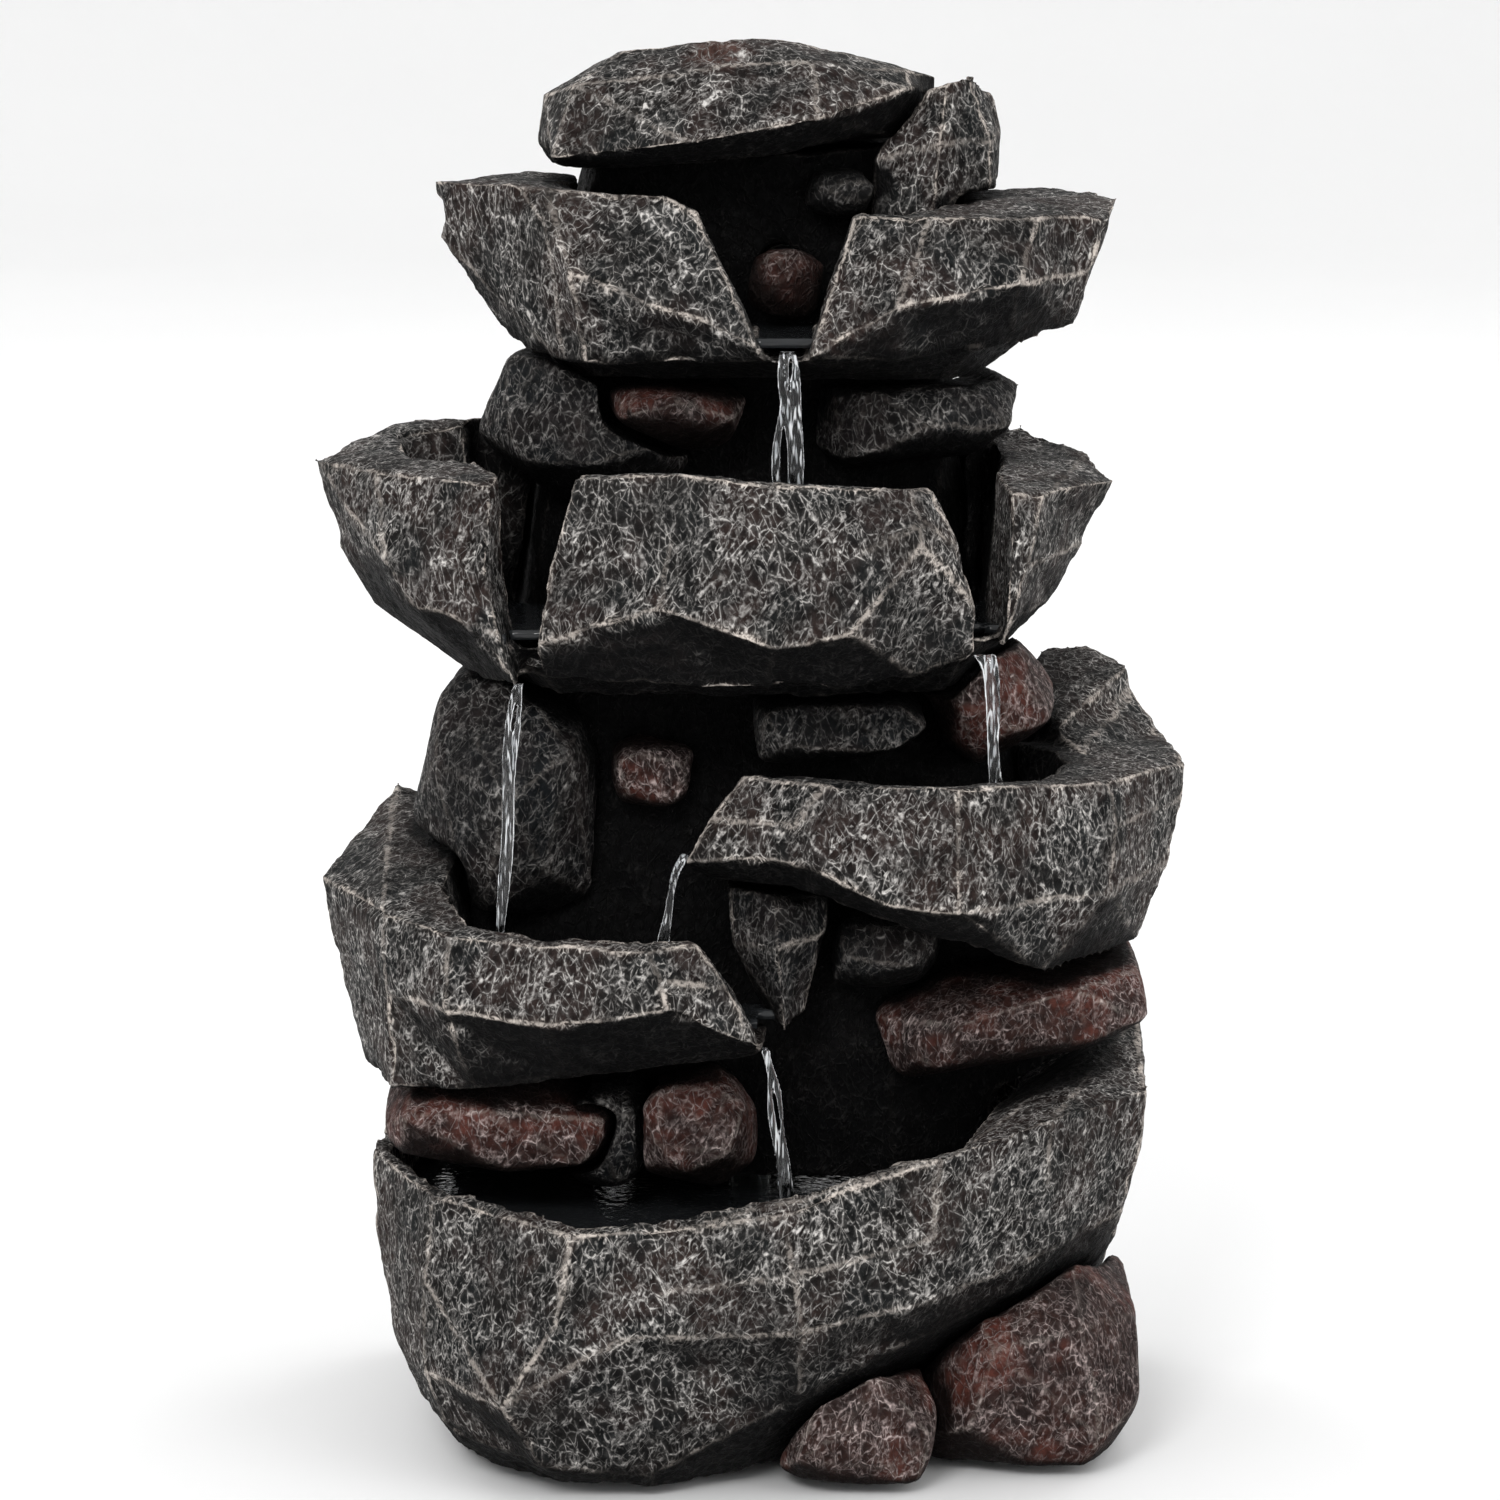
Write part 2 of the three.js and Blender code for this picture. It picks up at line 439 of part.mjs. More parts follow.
// Boulders that fill the space between the bowls, and the two that stand under the lowest basin.
const boulders = {
  neck_rock: { at: [26, 4, 356], size: [14, 13, 10], seed: 3, material: DARK_STONE },
  spout_rock: { at: [10, -13, 332], size: [14, 8, 14], seed: 31, material: RED_STONE },
  upper_right_slab: {
    at: [45, 8, 294], size: [35, 31, 19], turn: [0, -8, 0], seed: 5, material: DARK_STONE,
  },
  upper_red_boulder: {
    at: [-21, -6, 297], size: [23, 26, 13], turn: [0, 10, 0], seed: 2, material: RED_STONE,
  },
  upper_left_boulder: {
    at: [-44, 12, 290], size: [35, 34, 26], turn: [0, 16, 0], seed: 7, corners: 34,
    material: DARK_STONE,
  },
  mid_left_boulder: {
    at: [-67, 0, 187], size: [31, 40, 41], turn: [0, 2, 0], seed: 4, corners: 34,
    material: DARK_STONE,
  },
  mid_small_rock: {
    at: [-28, -12, 195], size: [16, 18, 13], turn: [0, 8, 0], seed: 9, material: RED_STONE,
  },
  mid_center_boulder: {
    at: [24, -14, 209], size: [31, 28, 14], turn: [0, -4, 0], seed: 6, material: DARK_STONE,
  },
  mid_red_boulder: {
    at: [66, -2, 214], size: [22, 30, 20], turn: [0, -25, 0], seed: 8, material: RED_STONE,
  },
  right_backing_rock: { at: [84, 66, 194], size: [28, 22, 18], seed: 11, material: GREY_STONE },
  left_backing_rock: {
    at: [-84, 52, 152], size: [22, 34, 19], turn: [0, -14, 0], seed: 12, material: GREY_STONE,
  },
  lower_center_boulder: {
    at: [38, -24, 148], size: [20, 26, 17], turn: [0, -10, 0], seed: 13, material: DARK_STONE,
  },
  lower_right_slab: {
    at: [72, -10, 127], size: [46, 46, 18], turn: [0, -10, 0], seed: 14, corners: 44,
    material: RED_STONE,
  },
  lower_left_red_rock: {
    at: [-70, -16, 98], size: [40, 44, 18], turn: [0, 3, 0], seed: 15, corners: 44,
    material: RED_STONE,
  },
  lower_dark_rock: {
    at: [-42, -26, 96], size: [19, 26, 20], turn: [0, 0, 0], seed: 19, material: DARK_STONE,
  },
  lower_center_red_rock: {
    at: [-15, -30, 97], size: [21, 30, 20], turn: [0, -14, 0], seed: 16, corners: 34,
    material: RED_STONE,
  },
  rear_lower_left_rock: { at: [-76, 54, 132], size: [28, 42, 40], seed: 21, material: DARK_STONE },
  rear_lower_right_rock: { at: [78, 56, 156], size: [29, 40, 34], seed: 22, material: DARK_STONE },
  rear_upper_left_rock: { at: [-46, 50, 250], size: [30, 38, 40], seed: 23, material: DARK_STONE },
  rear_upper_right_rock: { at: [50, 48, 256], size: [36, 40, 54], seed: 24, material: DARK_STONE },
  foot_rock_right: {
    at: [77, -14, 25], size: [38, 55, 38], seed: 17, corners: 60, material: RED_STONE,
  },
  foot_rock_center: {
    at: [30, -40, 15], size: [28, 46, 25], seed: 18, corners: 44, material: RED_STONE,
  },
};
const ground = box([-200, -200, -60], [200, 200, PAD_HEIGHT]);
for (const [name, { material, ...shape }] of Object.entries(boulders)) {
  const larger = { ...shape, size: shape.size.map((half) => half + SEAM) };
  lay(name, cut(boulder(shape), ground), material, boulder(larger));
}

// ---------------------------------------------------------------- rear access cover
// A plate over the doorway with a rim that plugs into it, and a notch for the cord's grommet.
const coverPlate = box(
  [-DOOR.halfWidth - DOOR.lap, DOOR.back + SEAM, DOOR.low - DOOR.lap],
  [DOOR.halfWidth + DOOR.lap, DOOR.back + DOOR.plate, DOOR.high + DOOR.lap],
);
const coverRim = cut(
  box(
    [-DOOR.halfWidth + SEAM, DOOR.back - WALL, DOOR.low + SEAM],
    [DOOR.halfWidth - SEAM, DOOR.back + 2, DOOR.high - SEAM],
  ),
  box(
    [-DOOR.halfWidth + 3, DOOR.back - 2 * WALL, DOOR.low + 3],
    [DOOR.halfWidth - 3, DOOR.back + SEAM, DOOR.high - 3],
  ),
);
const grommetAt = [0, DOOR.back, DOOR.low + 12];
const alongY = ([x, y, z], from, to, radius, sides, endRadius) =>
  rod([x, y + from, z], [x, y + to, z], radius, sides, endRadius);
place(
  'rear_access_cover',
  cut(
    coverPlate.add(coverRim),
    alongY(grommetAt, -10, 10, GROMMET.neck + GAP),
  ),
  DARK_STONE,
);
place(
  'cord_grommet',
  cut(
    joined(
      alongY(grommetAt, -1.6, DOOR.plate + 0.8, GROMMET.neck),
      alongY(grommetAt, DOOR.plate + 0.4, DOOR.plate + 0.8, GROMMET.flange),
      alongY(grommetAt, -1.6, 0.2, GROMMET.flange),
    ),
    alongY(grommetAt, -10, 10, GROMMET.bore),
  ),
  BLACK_RUBBER,
);

// ---------------------------------------------------------------- pads under the lowest basin
const padPlaces = [[-60, -36], [-76, 76], [74, 76], [82, -16]];
padPlaces.forEach(([x, y], i) => {
  place(`foot_pad_${i + 1}`, rod([x, y, 0], [x, y, PAD_HEIGHT - GAP], PAD_RADIUS), BLACK_RUBBER);
});

// ---------------------------------------------------------------- pump
// A magnet-driven pump. Its rotor lies along Y in a blind tube, with the impeller at the front.
const axisAt = (y) => [0, y, PUMP.axisZ];
const onAxis = (from, to, radius, sides, endRadius) =>
  rod(axisAt(from), axisAt(to), radius, sides, endRadius);
const pumpBack = PUMP.front + PUMP.depth;
const pumpFloor = PUMP.axisZ - PUMP.height / 2;
const pumpTop = PUMP.axisZ + PUMP.height / 2;
const rounded = (low, high, radius) =>
  solid(
    new THREE.BufferGeometry().copy(
      new RoundedBoxGeometry(high[0] - low[0], high[1] - low[1], high[2] - low[2], 1, radius),
    ).translate((low[0] + high[0]) / 2, (low[1] + high[1]) / 2, (low[2] + high[2]) / 2),
  );

const rotorBore = ROTOR.radius + 0.7;
const rotorEnd = PUMP.front + ROTOR.length + 1;
function pumpHousing() {
  const outside = rounded(
    [-PUMP.width / 2, PUMP.front, pumpFloor],
    [PUMP.width / 2, pumpBack, pumpTop],
    2,
  );
  const pocket = cut(
    box([-18, PUMP.front + 4, pumpFloor + 3], [18, pumpBack + 1, pumpTop - 3]),
    onAxis(PUMP.front, rotorEnd + 1.5, rotorBore + 1.5),
  );
  return cut(outside, pocket, onAxis(PUMP.front - 1, rotorEnd, rotorBore));
}
place('pump_housing', pumpHousing(), BLACK_PLASTIC);

// The stator: two poles beside the rotor tube, a yoke behind it, and a coil wound on the yoke.
const poleFront = PUMP.front + 5;
const yokeBack = pumpBack - 4;
const yokeFront = yokeBack - 6;
const statorInside = rotorBore + 1.5 + GAP;
place(
  'stator_core',
  cut(
    box([-16.5, poleFront, PUMP.axisZ - 6], [16.5, yokeBack, PUMP.axisZ + 6]),
    box([-statorInside, poleFront - 1, PUMP.axisZ - 7], [statorInside, yokeFront, PUMP.axisZ + 7]),
  ),
  FERRITE,
);
place(
  'stator_coil',
  cut(
    rounded([-8, yokeFront - 3, PUMP.axisZ - 12], [8, yokeBack + 3, PUMP.axisZ + 12], 1.5),
    box([-9, yokeFront - GAP, PUMP.axisZ - 6 - GAP], [9, yokeBack + GAP, PUMP.axisZ + 6 + GAP]),
  ),
  COPPER,
);
place(
  'motor_end_cap',
  box(
    [-PUMP.width / 2 + 1, pumpBack + GAP, pumpFloor + 1],
    [PUMP.width / 2 - 1, pumpBack + 2.3, pumpTop - 1],
  ),
  BLACK_PLASTIC,
);

// The chamber in front of the housing, with its inlet in the front and its nozzle on top.
const chamberFront = PUMP.front - 12;
const chamberBack = PUMP.front - GAP;
const nozzleY = (chamberFront + chamberBack) / 2;
const nozzleTop = pumpTop + 11;
const chamberRadius = 14;
function chamber() {
  const shell = onAxis(chamberFront, chamberBack, chamberRadius, 32);
  const nozzle = rod([0, nozzleY, PUMP.axisZ], [0, nozzleY, nozzleTop], HOSE.bore - GAP, 16);
  const inside = onAxis(chamberFront + 2, chamberBack + 1, chamberRadius - 2, 32);
  const nozzleBore = rod([0, nozzleY, PUMP.axisZ], [0, nozzleY, nozzleTop + 1], 2.6, 16);
  const inlet = onAxis(chamberFront - 1, chamberFront + 3, 5);
  return cut(joined(shell, nozzle), inside, nozzleBore, inlet);
}
// A spider across the inlet carries the front bush.
const spider = joined(
  box([-6, chamberFront, PUMP.axisZ - 0.8], [6, chamberFront + 2, PUMP.axisZ + 0.8]),
  onAxis(chamberFront, chamberFront + 2, 2.6),
);
place(
  'impeller_cover',
  cut(chamber().add(spider), onAxis(chamberFront + 0.5, chamberFront + 3, 1.9)),
  BLACK_PLASTIC,
);

// The rotor turns in two ceramic bushes.
const bush = (from, to) =>
  cut(onAxis(from, to, 1.6), onAxis(from - 1, to + 1, ROTOR.shaftBore + 0.1));
place('front_bush', bush(chamberFront + 0.8, chamberFront + 3), CERAMIC);
place('rear_bush', bush(rotorEnd - 2, rotorEnd - GAP), CERAMIC);
place('rotor_shaft', onAxis(chamberFront + 1.2, rotorEnd - 0.6, ROTOR.shaft, 12), CERAMIC);
const magnetFront = PUMP.front + 1;
const magnetBack = rotorEnd - 2.6;
place(
  'rotor_magnet',
  cut(
    onAxis(magnetFront, magnetBack, ROTOR.radius),
    onAxis(magnetFront - 1, magnetBack + 1, ROTOR.shaft + GAP),
  ),
  FERRITE,
);
function impeller() {
  const back = PUMP.front - 1;
  const blades = [];
  for (let i = 0; i < ROTOR.blades; i++) {
    const angle = (i * 2 * Math.PI) / ROTOR.blades;
    const blade = new THREE.BoxGeometry(ROTOR.impeller - 1, 5.5, 1);
    blade.translate(ROTOR.impeller / 2, 0, 0);
    blade.rotateY(angle);
    blade.translate(...axisAt(back - 3.5));
    blades.push(solid(blade));
  }
  const disc = onAxis(back - 1.2, back, ROTOR.impeller - 1);
  const hub = onAxis(back - 6, back + 1.4, 2.8);
  const bore = onAxis(back - 8, back + 2, ROTOR.shaft + GAP);
  return cut(joined(disc, hub, ...blades), bore);
}
place('impeller', impeller(), WHITE_PLASTIC);

// The inlet screen clips over the front of the pump. Its slots keep grit out.
const screenBack = PUMP.front - GAP;
const screenFront = chamberFront - 6;
function inletScreen() {
  const shell = rounded([-20, screenFront, pumpFloor + 1], [20, screenBack, pumpTop - 1], 1.5);
  const inside = box([-18, screenFront + 2, pumpFloor + 3], [18, screenBack + 1, pumpTop - 3]);
  const nozzleSlot = box([-5, nozzleY - 5, pumpTop - 5], [5, screenBack + 1, pumpTop + 1]);
  const slots = [];
  for (let x = -14; x <= 14; x += 4) {
    const low = [x - 0.8, screenFront - 1, pumpFloor + 4];
    const high = [x + 0.8, screenFront + 3, pumpFloor + 11];
    slots.push(box(low, high));
  }
  const dialHole = onAxis(screenFront - 1, screenFront + 3, DIAL.shaft + GAP);
  return cut(shell, inside, nozzleSlot, dialHole, ...slots);
}
place('inlet_screen', inletScreen(), BLACK_PLASTIC);

// The flow dial turns a half disc across the inlet.
const dialBack = chamberFront - 0.6;
const halfDisc = cut(
  onAxis(dialBack - 1.5, dialBack, 7),
  box([-8, dialBack - 3, PUMP.axisZ + 2], [8, dialBack + 1, PUMP.axisZ + 9]),
);
const dialKnob = joined(
  onAxis(screenFront - 3, screenFront - GAP, DIAL.knob),
  box([-1, screenFront - 5, PUMP.axisZ - 6], [1, screenFront - 2, PUMP.axisZ + 6]),
);
const dialShaft = onAxis(screenFront - 1, dialBack, DIAL.shaft);
place('flow_dial', joined(halfDisc, dialKnob, dialShaft), WHITE_PLASTIC);

// Four suction cups hold the pump to the floor of the basin.
function suctionCup(x, y) {
  const cupTop = pumpFloor - GAP;
  const cupFoot = WELL_FLOOR + GAP;
  const height = cupTop - cupFoot;
  const profile = [[0, 1.2], [4.6, 0], [5, 0.3], [2.6, 2.2], [2.4, height], [0, height]];
  const cup = new THREE.LatheGeometry(profile.map(([r, z]) => new THREE.Vector2(r, z)), 16);
  cup.rotateX(Math.PI / 2);
  cup.translate(x, y, cupFoot);
  return solid(cup);
}
const cupPlaces = [PUMP.front + 8, pumpBack - 8].flatMap((y) => [[-14, y], [14, y]]);
cupPlaces.forEach(([x, y], i) => {
  place(`suction_cup_${i + 1}`, suctionCup(x, y), BLACK_RUBBER);
});

// ---------------------------------------------------------------- water outlet and hose
const outletAt = [OUTLET.x, 0, OUTLET.z];
place(
  'water_outlet',
  cut(
    joined(
      alongY(outletAt, 2, 21, OUTLET.bore + OUTLET.wall),
      alongY(outletAt, 21, 27, HOSE.bore - GAP, 16),
    ),
    alongY(outletAt, 1, 28, 2.6, 16),
  ),
  BLACK_PLASTIC,
);
const hosePath = new THREE.CatmullRomCurve3([
  [0, nozzleY, pumpTop + GAP], [0, nozzleY, pumpTop + 8], [0, nozzleY, nozzleTop + 4],
  [0, 22, 110], [2, 32, 180], [6, 40, 260], [OUTLET.x, 43, 314], [OUTLET.x, 40, 327],
  [OUTLET.x, 33, OUTLET.z - 0.4], [OUTLET.x, 28, OUTLET.z], [OUTLET.x, 21 + GAP, OUTLET.z],
].map(vector));
const hoseSection = new THREE.Shape().absarc(0, 0, HOSE.outside, 0, 2 * Math.PI);
hoseSection.holes.push(new THREE.Path().absarc(0, 0, HOSE.bore, 0, 2 * Math.PI));
place(
  'riser_hose',
  solid(
    new THREE.ExtrudeGeometry(hoseSection, { steps: 36, curveSegments: 6, extrudePath: hosePath }),
  ),
  CLEAR_VINYL,
);

export default fountain;
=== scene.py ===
"""Looks for the tabletop water fountain: painted cast stone, the pump inside it, and falling water."""

import json
import math

import bmesh
import bpy
import numpy as np
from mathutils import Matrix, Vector
from mathutils.bvhtree import BVHTree
from mathutils.kdtree import KDTree


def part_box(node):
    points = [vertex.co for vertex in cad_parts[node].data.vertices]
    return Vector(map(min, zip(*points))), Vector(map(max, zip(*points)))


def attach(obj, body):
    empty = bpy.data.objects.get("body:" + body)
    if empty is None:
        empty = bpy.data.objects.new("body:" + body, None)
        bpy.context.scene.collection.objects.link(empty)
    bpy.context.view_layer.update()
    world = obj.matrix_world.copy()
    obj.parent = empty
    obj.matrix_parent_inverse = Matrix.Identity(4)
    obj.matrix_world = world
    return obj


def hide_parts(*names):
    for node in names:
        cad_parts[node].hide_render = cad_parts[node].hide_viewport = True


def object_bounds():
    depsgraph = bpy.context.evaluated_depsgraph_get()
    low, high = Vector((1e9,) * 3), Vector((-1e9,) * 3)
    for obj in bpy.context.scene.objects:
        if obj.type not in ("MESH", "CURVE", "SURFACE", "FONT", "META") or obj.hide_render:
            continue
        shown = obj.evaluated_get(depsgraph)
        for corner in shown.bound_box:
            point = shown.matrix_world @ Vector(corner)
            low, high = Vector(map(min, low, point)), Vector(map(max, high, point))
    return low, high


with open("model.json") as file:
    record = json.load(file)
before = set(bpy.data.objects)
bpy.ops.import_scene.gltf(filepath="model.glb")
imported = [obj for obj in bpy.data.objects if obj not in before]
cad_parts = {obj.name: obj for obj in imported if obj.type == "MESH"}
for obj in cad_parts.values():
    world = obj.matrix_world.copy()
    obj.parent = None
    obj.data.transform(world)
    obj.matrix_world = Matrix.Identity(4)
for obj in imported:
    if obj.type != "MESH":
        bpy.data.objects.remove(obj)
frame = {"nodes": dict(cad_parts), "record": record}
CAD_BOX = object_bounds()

MM = 0.001
RECORD = frame["record"]
SLOT_OF = {entry["node"]: entry["material_slot"] for entry in RECORD["subparts"]}
BODY_OF = {node: body for body, nodes in RECORD["behaviour"]["bodies"].items() for node in nodes}
HEIGHT = CAD_BOX[1][2] - CAD_BOX[0][2]

# ---------------------------------------------------------------- camera
CAMERA_DISTANCE = 1.785
CAMERA_ELEVATION = math.radians(10)
CAMERA_LENS = 150.7
CAMERA_SENSOR = 36
CAMERA_CLIP_END = 30
AIM = Vector((0, 0, 0.495 * HEIGHT))


def add_camera():
    camera = bpy.data.objects.new("camera", bpy.data.cameras.new("camera"))
    camera.data.lens = CAMERA_LENS
    camera.data.sensor_width = CAMERA_SENSOR
    camera.data.clip_end = CAMERA_CLIP_END
    back = Vector((0, -math.cos(CAMERA_ELEVATION), math.sin(CAMERA_ELEVATION)))
    camera.location = AIM + CAMERA_DISTANCE * back
    camera.rotation_euler = (math.pi / 2 - CAMERA_ELEVATION, 0, 0)
    bpy.context.collection.objects.link(camera)
    bpy.context.scene.camera = camera


add_camera()


# ---------------------------------------------------------------- noise in mesh code
def lattice(cell, seed):
    """A repeatable number from 0 to 1 for each whole-number cell."""
    mixed = cell[:, 0] * 374761393 + cell[:, 1] * 668265263 + cell[:, 2] * 1442695041 + seed * 362437
    mixed = mixed & 0xFFFFFFFF
    mixed = ((mixed ^ (mixed >> 13)) * 1274126177) & 0xFFFFFFFF
    mixed = ((mixed ^ (mixed >> 15)) * 2246822519) & 0xFFFFFFFF
    return ((mixed ^ (mixed >> 16)) & 0xFFFFFF) / 0xFFFFFF


def noise(points, size, seed):
    """Smooth noise from -1 to 1 with features of about the given size."""
    scaled = points / size
    corner = np.floor(scaled).astype(np.int64)
    part = scaled - corner
    part = part * part * (3 - 2 * part)
    total = np.zeros(len(points))
    for step in np.ndindex(2, 2, 2):
        weight = np.prod(np.where(np.array(step) == 1, part, 1 - part), axis=1)
        total += weight * lattice(corner + np.array(step), seed)
    return 2 * total - 1


def cell_edges(points, size, seed):
    """0 on the border between two cells of scattered points, rising towards each cell's middle."""
    scaled = points / size
    corner = np.floor(scaled).astype(np.int64)
    nearest = np.full(len(points), 9.0)
    second = np.full(len(points), 9.0)
    for step in np.ndindex(3, 3, 3):
        cell = corner + np.array(step) - 1
        spot = cell + np.stack([lattice(cell, seed + axis) for axis in range(3)], axis=1)
        distance = np.linalg.norm(spot - scaled, axis=1)
        second = np.minimum(second, np.maximum(distance, nearest))
        nearest = np.minimum(nearest, distance)
    return second - nearest


def ramp(value, start, end):
    part = np.clip((value - start) / (end - start), 0, 1)
    return part * part * (3 - 2 * part)


# ---------------------------------------------------------------- mesh helpers
def link(obj):
    bpy.context.collection.objects.link(obj)
    return obj


def vertices_of(mesh):
    points = np.empty(len(mesh.vertices) * 3)
    mesh.vertices.foreach_get("co", points)
    return points.reshape(-1, 3)


def normals_of(mesh):
    normals = np.empty(len(mesh.vertices) * 3)
    mesh.vertex_normals.foreach_get("vector", normals)
    return normals.reshape(-1, 3)


def edges_of(mesh):
    pairs = np.empty(len(mesh.edges) * 2, dtype=np.int64)
    mesh.edges.foreach_get("vertices", pairs)
    return pairs.reshape(-1, 2)


def relaxed(values, pairs, rounds, share=0.5):
    """Values at vertices, averaged with their neighbours a number of times."""
    count = len(values)
    degree = np.maximum(np.bincount(pairs.ravel(), minlength=count), 1)
    table = values.reshape(count, -1).copy()
    for _ in range(rounds):
        for column in range(table.shape[1]):
            old = table[:, column]
            total = np.bincount(pairs[:, 0], weights=old[pairs[:, 1]], minlength=count)
            total += np.bincount(pairs[:, 1], weights=old[pairs[:, 0]], minlength=count)
            table[:, column] = old + share * (total / degree - old)
    return table.reshape(values.shape)


def drop_crumbs(mesh):
    """Keeps only the largest connected body of a mesh."""
    body = np.arange(len(mesh.vertices))
    pairs = edges_of(mesh)
    while True:
        lowest = np.minimum(body[pairs[:, 0]], body[pairs[:, 1]])
        before = body.copy()
        np.minimum.at(body, pairs[:, 0], lowest)
        np.minimum.at(body, pairs[:, 1], lowest)
        body = body[body]
        if np.array_equal(before, body):
            break
    names, counts = np.unique(body, return_counts=True)
    if len(names) == 1:
        return
    keep = names[np.argmax(counts)]
    build = bmesh.new()
    build.from_mesh(mesh)
    crumbs = [vertex for vertex, name in zip(build.verts, body) if name != keep]
    bmesh.ops.delete(build, geom=crumbs, context="VERTS")
    build.to_mesh(mesh)
    build.free()


def remeshed(source_mesh, voxel):
    """The mesh as an even skin of small quads."""
    rough = link(bpy.data.objects.new("rough", source_mesh.copy()))
    modifier = rough.modifiers.new("remesh", "REMESH")
    modifier.mode = "VOXEL"
    modifier.voxel_size = voxel
    evaluated = rough.evaluated_get(bpy.context.evaluated_depsgraph_get())
    mesh = bpy.data.meshes.new_from_object(evaluated)
    bpy.data.objects.remove(rough)
    drop_crumbs(mesh)
    return mesh


def store(mesh, name, values):
    attribute = mesh.attributes.new(name, "FLOAT", "POINT")
    attribute.data.foreach_set("value", values.astype(np.float32))


def smooth_shading(mesh):
    mesh.polygons.foreach_set("use_smooth", np.ones(len(mesh.polygons), dtype=bool))


def joined_tree(nodes):
    """One ray-casting tree over several CAD nodes."""
    points = []
    faces = []
    for node in nodes:
        mesh = frame["nodes"][node].data
        mesh.calc_loop_triangles()
        start = len(points)
        points.extend(vertex.co.copy() for vertex in mesh.vertices)
        faces.extend(tuple(start + i for i in triangle.vertices) for triangle in mesh.loop_triangles)
    return BVHTree.FromPolygons(points, faces)


STONES = [node for node, slot in SLOT_OF.items() if slot.endswith("_stone")]
STONE_TREE = joined_tree(STONES)

# ---------------------------------------------------------------- how open each surface is
# The paint darkens less open places with painted shade.
OPENNESS_CELL = 4 * MM
OPENNESS_REACH = 70 * MM
OPENNESS_RAYS = 24
OPENNESS_START = 1.5 * MM
OPENNESS_ROUNDS = 8
GRAZING = 0.05
CLEAR_IF_HIT = 0.6


def even_directions(count):
    golden = math.pi * (3 - math.sqrt(5))
    heights = 1 - (2 * np.arange(count) + 1) / count
    across = np.sqrt(1 - heights**2)
    turns = golden * np.arange(count)
    return np.stack([across * np.cos(turns), across * np.sin(turns), heights], axis=1)


def openness(points, normals, pairs):
    """1 where nothing is near in front of the surface, and 0 deep in a crevice."""
    keys = np.floor(points / OPENNESS_CELL).astype(np.int64) * 4 + np.rint(normals).astype(np.int64)
    _, first, group = np.unique(keys, axis=0, return_index=True, return_inverse=True)
    group = group.ravel()
    rays = even_directions(OPENNESS_RAYS)
    found = np.empty(len(first))
    for i, vertex in enumerate(first):
        start = Vector(points[vertex] + normals[vertex] * OPENNESS_START)
        facing = rays @ normals[vertex]
        clear = 0.0
        whole = 0.0
        for direction, weight in zip(rays, facing):
            if weight <= GRAZING:
                continue
            whole += weight
            hit = STONE_TREE.ray_cast(start, Vector(direction), OPENNESS_REACH)
            clear += weight * (1.0 if hit[0] is None else CLEAR_IF_HIT * hit[3] / OPENNESS_REACH)
        found[i] = clear / whole
    return relaxed(found[group], pairs, OPENNESS_ROUNDS)


# ---------------------------------------------------------------- how near each sharp edge is
FAINT_ANGLE = math.radians(15)
SHARP_ANGLE = math.radians(42)
FAINT_STRENGTH = 0.25
EDGE_STEP = 0.6 * MM
EDGE_REACH = 9.0


def sharp_edges(mesh):
    """Points along the outward edges of a CAD stone, and how sharp the edge is at each, 0 to 1."""
    build = bmesh.new()
    build.from_mesh(mesh)
    bmesh.ops.remove_doubles(build, verts=build.verts, dist=1e-5)
    points = []
    sharpness = []
    for edge in build.edges:
        angle = edge.calc_face_angle_signed() if edge.is_manifold else 0.0
        if angle < FAINT_ANGLE:
            continue
        start, end = (vertex.co for vertex in edge.verts)
        count = max(1, int(edge.calc_length() / EDGE_STEP))
        points.extend(start.lerp(end, step / count) for step in range(count + 1))
        share = (angle - FAINT_ANGLE) / (SHARP_ANGLE - FAINT_ANGLE)
        strength = min(1.0, FAINT_STRENGTH + (1 - FAINT_STRENGTH) * share)
        sharpness.extend([strength] * (count + 1))
    build.free()
    return points, np.array(sharpness)


def nearest_edge(points, mesh):
    """How far each point is from the nearest sharp edge, in mm, and how sharp that edge is."""
    sharp, sharpness = sharp_edges(mesh)
    if not sharp:
        return np.full(len(points), EDGE_REACH), np.zeros(len(points))
    tree = KDTree(len(sharp))
    for index, point in enumerate(sharp):
        tree.insert(point, index)
    tree.balance()
    found = [tree.find(point)[1:] for point in points]
    distance = np.array([away for _, away in found]) / MM
    return np.minimum(distance, EDGE_REACH), sharpness[[index for index, _ in found]]


# ---------------------------------------------------------------- stones
# Every noise size below is in mm.
# Voxel, rounding rounds, and the depths of the relief, the wrinkles and the chips, in mm.
SLAB = {"voxel": 1.2, "rounds": 3, "low": 0.9, "middle": 0.8, "chips": 2.2, "wrinkle": 0.5}
BOULDER = {"voxel": 1.1, "rounds": 26, "low": 1.4, "middle": 0.7, "chips": 0.3, "wrinkle": 0.4}
SLABS = ("lower_basin", "left_basin", "right_basin", "middle_bowl", "top_bowl", "cap_rock",
         "cap_side_rock", "left_backing_rock", "right_backing_rock", "lower_pointed_rock",
         "column_shell", "rear_access_cover")

# Small pits in a stone: the middle as shares of the stone's box, then the half lengths in mm.
PITS = {"cap_rock": (((0.42, 0.30, 0.93), (4.6, 3.2, 1.8)), ((0.515, 0.27, 0.88), (2.4, 2.2, 1.8)))}
PIT_DEPTH = 3.4
RUST_SPOTS = {"cap_rock": ((0.46, 0.30, 0.88), 11.0)}

